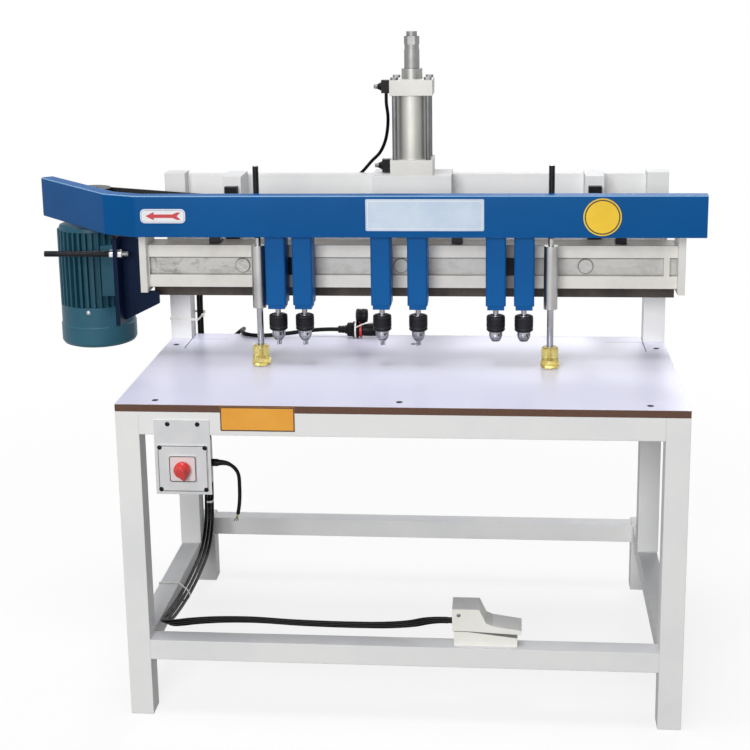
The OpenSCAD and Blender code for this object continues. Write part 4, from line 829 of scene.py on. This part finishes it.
def lay_hoses():
    """Three air hoses from the pedal: side by side to the left column, then each to its own end."""
    for name, (k, end) in HOSE_ENDS.items():
        port = PEDAL_PORT + k * HOSE_STEP * np.array([0, 1, -1])
        shared = BUNDLE + k * HOSE_STEP * np.array([1, 1, -1])
        route = np.concatenate([[port, port - [PORT_STUB, 0, 0]], shared, np.array(end, float)])
        lay_cord(name, route, HOSE_D, HOSE_BLACK, "air_hoses")


def relief_sleeve(name, route, reach, start_r, end_r):
    """A tapered strain relief along the first stretch of a route, with six grooves in it."""
    path = smooth_line(route, 1.0)[:reach]
    u = np.linspace(0, 1, len(path))
    groove = (np.sin(u * 2 * np.pi * 6) > 0.2) * (u > 0.12) * (u < 0.95)
    radius = start_r + (end_r - start_r) * u - 0.7 * groove
    return put(name, tube(path, radius, 24), "frame", BLACK_PLASTIC)


def plug_pieces():
    """The mains plug along X: ribbed body and collar, red ring, lid, tie and three pins, each turned
    from a profile of radius and distance."""
    base = np.array(MAINS_ROUTE[-1], float)
    grip = [(0, 0), (6.0, 0), (9.0, 3), (9.0, 7), (8.0, 8), (8.0, 10), (9.4, 11), (9.4, 14), (8.4, 15),
            (8.4, 17), (10.5, 18), (10.5, 22), (15.5, 24), (17.0, 27), (17.0, 36), (18.5, 38),
            (20.0, 39), (20.0, 50), (18.6, 52), (16.0, 53), (16.0, 62), (14.5, 62.5), (14.5, 64),
            (16.0, 64.5), (16.0, 98), (14.8, 100), (13.2, 100), (13.2, 92), (0, 92)]
    ring = [(16.05, 54), (18.8, 55), (18.8, 60), (16.05, 61), (16.05, 54)]
    lid = [(0, 0), (13.5, 0), (16.5, 2), (16.5, 12), (15.8, 13), (15.8, 15), (16.5, 16), (16.5, 26),
           (15.0, 28), (12.5, 28), (12.5, 5), (0, 5)]
    loop = [(20.1, 43), (21.2, 43), (21.2, 46.5), (20.1, 46.5), (20.1, 43)]
    strap = smooth_line(base + [[45, -19, 9], [62, -18, 17], [95, -16, 24], [132, -14, 29]], 2.0)
    pin, pin_r = [(0, 92), (2.4, 92), (2.4, 117), (1.6, 119.6), (0, 120)], 8
    pins = [[0, pin_r * math.cos(a), pin_r * math.sin(a)] for a in np.radians([90, 210, 330])]

    def ribs(angle, height):
        banded = ((height > 26.5) & (height < 36.5)) | ((height > 39.5) & (height < 50.5))
        return -0.8 * (np.cos(12 * angle) > 0.2) * banded

    hinge = block(base + [54, -6, 15], base + [68, 6, 21])
    pieces = [
        ("plug_body", lathe(grip, base, "x", 144, ribs), "black_plastic", BLACK_PLASTIC, ("mains_plug",)),
        ("plug_ring", lathe(ring, base, "x", 72), "black_plastic", RING_RED, ("mains_plug",)),
        ("plug_lid", joined(lathe(lid, base + [46, 0, 35.5], "x", 72), hinge), "black_plastic",
         BLACK_PLASTIC, ()),
        ("plug_tie", joined(lathe(loop, base, "x", 72), tube(strap, 1.5, 8)), "label_white", TIE_WHITE,
         ()),
        ("plug_pins", joined(*[lathe(pin, base + offset, "x", 20) for offset in pins]), "bright_steel",
         GROUND_STEEL, ("mains_plug",)),
    ]
    return [put(name, shape, "frame", finish, replaced)
            for name, shape, slot, finish, replaced in pieces]


def switch_cores():
    """Three thin cores that splay from the lead's cut end."""
    end = np.array(SWITCH_ROUTE[-1], float)
    ways = np.array([[-9, -2, -15], [-4, 3, -17], [1, -3, -14]], float)
    cores = []
    for way, (colour, finish) in zip(ways, CORE_FINISHES.items()):
        path = smooth_line(end + way * [[0.12, 0.4, -0.1], [0.25, 0.6, 0.4], [1.0, 1.0, 1.0]], 1.0)
        cores.append(put(f"switch_core_{colour}", tube(path, 1.1, 8), "frame", finish,
                         along=tube_run(path, 8)))
    return cores


def cable_ties():
    """Flat ties round the left stretcher and hoses, round the hoses, and round the column and hoses."""
    stretcher_middle, hoses, column = np.array([-562, 154]), (-538, 616), (-566.5, 591)
    wrap = np.array([[-598.6, 131.2], [-552, 131], [-536, 136.5], [-529, 141], [-526.4, 147],
                     [-528, 154], [-533, 161.5], [-541, 168], [-551.6, 178],
                     [-598.6, 178.2]]) - stretcher_middle
    low = front_band(wrap * [1.034, 1.05], wrap, stretcher_middle, 302.5, 297.5)
    foot = front_band(rounded_outline(23, 23, 9), rounded_outline(21, 21, 8), hoses, 264.0, 269.0, level)
    high = front_band(rounded_outline(73, 88, 7), rounded_outline(70.6, 85.6, 6), column, 762.0, 767.0,
                      level)
    heads = [block((-575, 297, 178), (-568, 303, 182)), block((-532, 588, 761), (-526, 596, 768))]
    put("cable_ties", joined(low, foot, high, *heads), "frame", TIE_WHITE)


cable_ties()
lay_hoses()
lay_cord("mains_cable", MAINS_ROUTE, MAINS_D, CABLE_BLACK, "mains_lead",
         plug_pieces() + [relief_sleeve("mains_relief", MAINS_ROUTE, reach=34, start_r=9.0, end_r=5.9)])
lay_cord("switch_cable", SWITCH_ROUTE, SWITCH_LEAD_D, CABLE_BLACK, "switch_lead",
         switch_cores()
         + [relief_sleeve("switch_relief", SWITCH_ROUTE, reach=26, start_r=7.0, end_r=4.8)])


# Chucks, pads and presses

def knurled_sleeve(i, x):
    """A chuck's outer sleeve: a diamond knurl of two crossed waves over a plain collar and toothed foot."""
    outside = finer([(15.4, 799.5), (18.4, 799.5), (20.6, 801.8), (20.6, 806.0), (19.9, 806.6),
                     (19.9, 808.0), (20.6, 808.6), (20.6, 831.8), (18.4, 834.4), (15.4, 834.4)], 1.1)
    profile = np.concatenate([outside, outside[:1]])

    def knurl(angle, height):
        lean = (height - 800.0) * 0.52
        diamond = np.maximum(np.cos(36 * angle + lean), np.cos(36 * angle - lean))
        teeth = np.cos(15 * angle) > 0.1
        return (0.45 * diamond * ((height > 809) & (height < 831))
                + 0.4 * teeth * (height > 801) * (height < 806))

    put(f"chuck_sleeve_{i}", lathe(profile, (x, SPINDLE_Y, 0), "z", 180, knurl), f"head_{i}",
        RAIL_BLACK, crease=60)


def press_pad(side, x):
    """A round-edged pad with a shallow waist below its collar, hollow round the bolt."""
    inside = [(0, 733), (8.6, 733), (8.6, 739.5), (4.2, 739.5), (4.2, 763)]
    outside = [(15.5, 763), (18.2, 761.6), (19.3, 758.8), (19.3, 735), (19.0, 733), (19.8, 731.4),
               (20.6, 730), (21.0, 727), (21.0, 719.5), (20.2, 717.2), (18.0, 716.0), (8.8, 716.0),
               (0, 716.0)]
    put(f"pad_{side}", lathe(finer(inside + outside, 2.0), (x, SPINDLE_Y, 0), "z", 72),
        f"press_{side}", PAD_AMBER, (f"press_pad_{side}",))


def press_spring(side, x):
    """A spring of round wire on a helix, its height even over the curls."""
    turn = np.linspace(0.0, 2 * np.pi * SPRING_CURLS, 28 * SPRING_CURLS)
    rise = SPRING_FOOT + (SPRING_HEAD - SPRING_FOOT) * turn / turn[-1]
    path = np.stack([x + SPRING_R * np.cos(turn), SPINDLE_Y + SPRING_R * np.sin(turn), rise], axis=1)
    spring = put(f"coil_spring_{side}", tube(path, 1.2, 10), "boring_beam", SPRING,
                 (f"press_spring_{side}",))
    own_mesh(spring)


def threaded_rod(name, centre, axis, length):
    """A rod with a thread: the radius follows a triangle wave of height over pitch less the turn."""
    heights = np.arange(0.0, length, THREAD_PITCH / 6)
    profile = np.concatenate([[[0, 0]], np.stack([np.full(len(heights), THREAD_R), heights], axis=1),
                              [[THREAD_R - 1.2, length], [0, length]]])

    def thread(angle, height):
        phase = (height / THREAD_PITCH - angle / (2 * np.pi)) % 1.0
        return 0.55 - 1.5 * np.abs(phase - 0.5)

    put(name, lathe(profile, centre, axis, 24, thread), "boring_beam", RAIL_BLACK, crease=70)


for number, spindle_x in enumerate(SPINDLE_X, 1):
    knurled_sleeve(number, spindle_x)
for press_side, press_x in PRESS_X.items():
    press_pad(press_side, press_x)
    press_spring(press_side, press_x)
    threaded_rod(f"preload_thread_{press_side}", (press_x, SPINDLE_Y, 1012.5), "z", length=162.0)
threaded_rod("tension_thread", (-838.8, TENSION_Y, TENSION_Z), "x", length=160.0)


# Welds, nuts, fittings and clamps

def weld_bead(start, end):
    """A rippled bead along a joint: a tube whose radius swings with the length and shrinks at its ends."""
    start, end = np.asarray(start, float), np.asarray(end, float)
    length = np.linalg.norm(end - start)
    u = np.linspace(0, 1, int(length / 0.8))
    ripple = 0.78 + 0.22 * np.abs(np.sin(1.1 * length * u))
    radius = 2.2 * ripple * np.minimum(1, 0.4 + 8 * np.minimum(u, 1 - u))
    return tube(start + u[:, None] * (end - start), radius, 10)


def frame_welds():
    """Beads where the stretchers meet the legs, where the columns stand and under the top rails."""
    low, high, rail = 133, 176, 649
    top = high + 1
    lines = []
    for side in (-1, 1):
        inner, edge, far, outer = (side * x for x in (550.0, 552.5, 597.5, 597))
        lines += [((inner, 2.5, low), (inner, 2.5, high)), ((inner, 4, top), (inner, 46, top)),
                  ((inner, 47.5, low), (inner, 47.5, high)), ((edge, 50, low), (edge, 50, high)),
                  ((edge, 50, top), (far, 50, top)), ((edge, 720, low), (edge, 720, high)),
                  ((inner, 550, top), (outer, 550, top)), ((inner, 600, top), (outer, 600, top)),
                  ((inner, 552, top), (inner, 598, top)), ((inner, 2, rail), (inner, 48, rail))]
    put("frame_welds", joined(*[weld_bead(a, b) for a, b in lines]), "frame", WHITE)


def fastener_pieces():
    """Nuts of the tension screw, screws of the fan cowl, the pedal's pin head, the fittings' needles."""
    nuts = [hex_head((x, TENSION_Y, TENSION_Z), "x", radius=10.5, height=9.3) for x in (-685.3, -666.0)]
    put("tension_nuts", joined(*nuts), "boring_beam", BOLT_ZINC)
    ways = {"-y": (0, -COWL_R), "y": (0, COWL_R), "-x": (-COWL_R, 0)}
    cowl = [dome_screw((MOTOR_X + x, MOTOR_Y + y, COWL_SCREW_Z), axis, radius=5.0, rise=3.0)
            for axis, (x, y) in ways.items()]
    put("cowl_screws", joined(*cowl), "boring_beam", BOLT_ZINC)
    put("pedal_pin_head", dome_screw((124, 12.4, 247), "-y", radius=4.4, rise=1.6), "frame",
        ZINC)
    collar = [(0, 0), (9.4, 0), (9.4, 2.5), (8.4, 4.0), (6.6, 8.0), (5.6, 9.0), (0, 9.0)]
    needle = [(0, 8.5), (5.4, 8.5), (5.4, 12.2), (4.6, 12.8), (4.6, 17.2), (3.8, 18.0), (0, 18.0)]
    places = [(FITTING_X, CYLINDER_Y, z) for z in FITTING_Z]

    def grips(angle, height):
        return 0.25 * np.cos(18 * angle)

    put("fitting_collars", joined(*[lathe(collar, place, "-x", 48) for place in places]), "frame",
        BLACK_PLASTIC)
    put("fitting_needles", joined(*[lathe(needle, place, "-x", 48, grips) for place in places]), "frame",
        ZINC)


def shadow_plates():
    """A dark plate in the beam's recess behind each close pair of heads, standing in for the shadow there:
    an eased box.
    """
    reach, front, back, clear = 18, 372, 382.2, 2.0
    plates = [block((first - reach, front, RECESS_LOW + clear), (second + reach, back, RECESS_HIGH - clear))
              for first, second in CLOSE_PAIRS]
    put("shadow_plates", joined(*plates), "boring_beam", RAIL_BLACK)


frame_welds()
fastener_pieces()
shadow_plates()


# Switch, notice and cover labels

def knob_shape():
    """Rows from the plate outwards: each blends a circle into a pointed lever by its share, times its
    swell; the lever's reach grows with the cube of the cosine ahead."""
    depth = np.array([-8.2, -8.2, -9.5, -19.0, -21.5, -24.0, -32.5, -34.6, -35.3, -35.3])
    swell = np.array([0.0, 1.0, 1.03, 1.03, 0.96, 0.82, 0.78, 0.7, 0.5, 0.0])
    share = np.array([0.0, 0.0, 0.0, 0.0, 0.35, 1.0, 1.0, 1.0, 1.0, 1.0])[:, None, None]
    round_r, lever_r, point, tilt = 17.0, 15.0, 11.0, math.radians(25)
    along = np.array([math.sin(tilt), -math.cos(tilt)])
    across = np.array([math.cos(tilt), math.sin(tilt)])
    angle = turns(96)
    ahead = np.maximum(0, np.cos(angle))
    circle = round_r * np.stack([np.cos(angle), np.sin(angle)], axis=1)
    lever = np.stack([(lever_r + point * ahead ** 3) * np.cos(angle),
                      lever_r * np.sin(angle) * (1 - 0.3 * ahead)], axis=1)
    rows = ((1 - share) * circle + share * lever) * swell[:, None, None]
    flat = rows[..., :1] * along + rows[..., 1:] * across
    points = np.stack([flat[..., 0] + KNOB_X, np.broadcast_to(depth[:, None], flat.shape[:2]),
                       flat[..., 1] + KNOB_Z], axis=-1)
    return points.reshape(-1, 3), [quads(len(depth), len(angle))]


def switch_pieces():
    """Groove lines round the panel and the escutcheon, the escutcheon's film and the red knob."""
    middle, panel, plate = (KNOB_X, KNOB_Z), -4.9, -7.9
    grooves = {
        "panel_groove": (rounded_outline(105, 101, 4), rounded_outline(102.6, 98.6, 3), panel),
        "escutcheon_groove": (rounded_outline(57, 57, 5), rounded_outline(53.6, 53.6, 4), plate),
    }
    for name, (outer, inner, face) in grooves.items():
        put(name, front_band(outer, inner, middle, face, face - 0.3), "frame", FILM_DARK)
    put("escutcheon_film", front_plate(rounded_outline(53.4, 53.4, 4), middle, plate, plate - 0.2),
        "frame", FILM_ROSE)
    put("knob_handle", knob_shape(), "knob", RED_PLASTIC, ("switch_knob",))


def screw_heads():
    """Cross-recess screws of the worktop and the switch plate."""
    tops = [(-520, 32), (520, 32), (-576, 492), (576, 492), (0, 38), (0, 515)]
    table = [dome_screw((x, y, TABLE_H - 0.3), "z", radius=7.0, rise=1.2) for x, y in tops]
    plate = [(x, -2.0, 673) for x in (-488, -424)]
    panel = [(KNOB_X + x, -5.0, KNOB_Z + z) for x in (-48.5, 48.5) for z in (-46.5, 46.5)]
    switch = [dome_screw(place, "-y", radius=5.0, rise=2.9) for place in plate + panel]
    put("worktop_screws", joined(*table), "frame", RAIL_BLACK, ("frame_screws",))
    put("switch_screws", joined(*switch), "frame", RAIL_BLACK, ("frame_screws",))


def notice_pieces():
    """A thin dark border on the bare orange notice."""
    border = front_band(rounded_outline(157.6, 52.6, 2), rounded_outline(152.6, 47.6, 1.2),
                        (-296.0, 685.5), -0.9, -1.15)
    put("notice_border", border, "frame", FILM_DARK)


def cover_label_pieces():
    """Three bare labels on the cover: a plain arrow with a notched tail that shows the way of turning,
    a pale panel with a border and a round yellow disc with a ring."""
    arrow, panel, disc = (-543.0, 1069.0), (42.5, 1071.5), (430.0, 1067.0)
    back, front = COVER_Y - 0.1, COVER_Y - 0.85
    print_line, print_thick = front - 0.1, front - 0.12
    way = np.array([[-20, -9.5], [-20, -4], [22, -4], [32, -8.5], [41, -8.5], [32, 0], [41, 8.5],
                    [32, 8.5], [22, 4], [-20, 4], [-20, 9.5], [-39, 0]], float)
    labels = [
        ("arrow_label", front_plate(rounded_outline(102, 32, 10), arrow, back, front), FILM_WHITE),
        ("arrow_line", front_band(rounded_outline(97.5, 27.5, 8.2), rounded_outline(96, 26, 7.6), arrow,
                                  front, print_line), FILM_LINE_BLUE),
        ("arrow_print", front_plate(way, arrow, front, print_thick), FILM_RED),
        ("panel_label", front_plate(rounded_outline(261, 71, 3), panel, back, front), FILM_PALE),
        ("panel_line", front_band(rounded_outline(253, 63, 3), rounded_outline(250, 60, 2), panel,
                                  front, print_line), FILM_WHITE),
        ("disc_label", front_plate(circle_outline(41.5), disc, back, front), FILM_YELLOW),
        ("disc_ring", front_band(circle_outline(38.6), circle_outline(35.8), disc, front, print_thick),
         FILM_DARK),
    ]
    for name, shape, finish in labels:
        replaced = ("cover_labels",) if name.endswith("_label") else ()
        put(name, shape, "boring_beam", finish, replaced)


switch_pieces()
screw_heads()
notice_pieces()
cover_label_pieces()


# Belt cover

def eased_path(corners, bend):
    """A line with each corner replaced by an arc that starts a bend's length before it."""
    corners = np.asarray(corners, float)
    u = np.linspace(0, 1, 7)[:, None]
    runs = [corners[:1]]
    for before, corner, after in zip(corners[:-2], corners[1:-1], corners[2:]):
        a = corner + bend * (before - corner) / np.linalg.norm(before - corner)
        b = corner + bend * (after - corner) / np.linalg.norm(after - corner)
        runs.append((1 - u) ** 2 * a + 2 * u * (1 - u) * corner + u ** 2 * b)
    return np.concatenate(runs + [corners[-1:]])


def cover_plan(depth):
    """The cover's plan line moved in: each corner along its normals' sum over one plus their product."""
    corners = np.array([(656, COVER_Y), (-608, COVER_Y), (-687, 311), (-908, 560)], float)
    way = np.diff(corners, axis=0)
    way /= np.linalg.norm(way, axis=1)[:, None]
    normal = np.stack([way[:, 1], -way[:, 0]], axis=1)
    before, after = np.concatenate([normal[:1], normal]), np.concatenate([normal, normal[-1:]])
    moved = corners + depth * (before + after) / (1 + (before * after).sum(axis=1))[:, None]
    return eased_path(moved, max(0.4, 6.0 - 0.19 * depth))


def cover_shell():
    """The sheet's section, a wall with a rounded fold to a top flange, each point on its own plan line."""
    bend = np.linspace(0, np.pi / 2, 6)
    fold_r, ease = 4.0, 0.4
    thin, fold_z = fold_r - COVER_SHEET, COVER_TOP - fold_r
    outer = np.stack([fold_r * (1 - np.cos(bend)), fold_z + fold_r * np.sin(bend)], axis=1)
    inner = np.stack([fold_r - thin * np.cos(bend), fold_z + thin * np.sin(bend)], axis=1)[::-1]
    section = np.concatenate([
        [[COVER_SHEET, COVER_Z], [ease, COVER_Z], [0.0, COVER_Z + ease]], outer,
        [[COVER_FLANGE, COVER_TOP], [COVER_FLANGE, COVER_TOP - COVER_SHEET]], inner])
    lines = np.stack([cover_plan(depth) for depth in section[:, 0]], axis=1)
    heights = np.broadcast_to(section[None, :, 1:], (*lines.shape[:2], 1))
    rows, count = lines.shape[:2]
    ring = np.arange(count)[None]
    ends = [ring, ring[:, ::-1] + (rows - 1) * count]
    return np.concatenate([lines, heights], axis=-1).reshape(-1, 3), [quads(rows, count)] + ends


def cover_arms():
    """Flat bar arms from the cover to the beam's top, each bent down to a foot, and the bracket's tab."""
    side = np.array([[276.5, 1027], [385, 1027], [385, 986], [425, 986], [425, 991], [390, 991],
                     [390, 1032], [276.5, 1032]])
    half_wide, places = 12.5, (-450, 110, 480)
    bars = [prism(*[np.column_stack([np.full(len(side), x + edge), side])
                    for edge in (-half_wide, half_wide)]) for x in places]
    return joined(*bars, block((-673, 306, 1010), (-668, 351, 1051)))


put("cover_sheet", cover_shell(), "boring_beam", COVER_BLUE, ("belt_cover",))
put("cover_arm_bars", cover_arms(), "boring_beam", RAIL_BLACK, ("belt_cover",))


# Stage and light

SEEN_BY = ("Is Camera Ray", "Is Glossy Ray", "Is Transmission Ray")


def floor_finish():
    """Pale floor: the camera, metal and glass see it white far off, with a soft shadow near the machine."""
    f = Finish("floor_white", roughness=0.9, specular_ior_level=0.0, emission_strength=1.0)
    x, y, _ = f.place()
    ray = f.add("ShaderNodeLightPath").outputs
    camera, glossy, through = (Reading(f, ray[kind]) for kind in SEEN_BY)
    seen = camera.most(glossy).most(through)
    glow = seen * (x * x + y * y).root().rise(0.9, 2.8, 0.8, 1.0)
    f.set(base_color=(0.25 + 0.7 * seen) * (1.0 - glow), emission_color=glow)
    return f.material


def make_stage():
    """A wide pale floor under the machine."""
    side = 30.0
    corners = [(-side, -side, 0), (side, -side, 0), (side, side, 0), (-side, side, 0)]
    mesh = bpy.data.meshes.new("floor")
    mesh.from_pydata(corners, [], [(0, 1, 2, 3)])
    mesh.materials.append(floor_finish())
    floor = bpy.data.objects.new("floor", mesh)
    floor.location.z = -0.001
    bpy.context.scene.collection.objects.link(floor)


def make_lamps():
    """A large lamp in front, one overhead and a weak one behind, all aimed at the machine's middle."""
    lamps = {"front": ((-1.0, -7.5, 3.2), 3.5, 410.0), "overhead": ((-0.5, -0.7, 6.2), 2.2, 185.0),
             "back": ((1.5, 6.0, 5.0), 3.0, 180.0)}
    aim = Vector((0.0, 0.0, 0.8))
    for name, (place, size, power) in lamps.items():
        data = bpy.data.lights.new(name, "AREA")
        data.size, data.energy = size, power
        lamp = bpy.data.objects.new(name, data)
        lamp.location = place
        lamp.rotation_euler = (aim - Vector(place)).to_track_quat("-Z", "Y").to_euler()
        bpy.context.scene.collection.objects.link(lamp)


def make_sky():
    """An even weak sky that the camera, metal and glass see as white."""
    world = bpy.data.worlds.new("studio")
    world.use_nodes = True
    nodes, links = world.node_tree.nodes, world.node_tree.links
    nodes.clear()
    out = nodes.new("ShaderNodeOutputWorld")
    seen, sky = nodes.new("ShaderNodeBackground"), nodes.new("ShaderNodeBackground")
    sky.inputs["Strength"].default_value = 0.16
    for background in (seen, sky):
        background.inputs["Color"].default_value = (1.0, 1.0, 1.0, 1.0)
    ray = nodes.new("ShaderNodeLightPath")
    share = ray.outputs[SEEN_BY[0]]
    for kind in SEEN_BY[1:]:
        either = nodes.new("ShaderNodeMath")
        either.operation = "MAXIMUM"
        links.new(share, either.inputs[0])
        links.new(ray.outputs[kind], either.inputs[1])
        share = either.outputs[0]
    mix = nodes.new("ShaderNodeMixShader")
    for socket, value in zip(mix.inputs, (share, sky.outputs[0], seen.outputs[0])):
        links.new(value, socket)
    links.new(mix.outputs[0], out.inputs["Surface"])
    bpy.context.scene.world = world


make_stage()
make_lamps()
make_sky()
bpy.context.scene.view_settings.view_transform = "Standard"
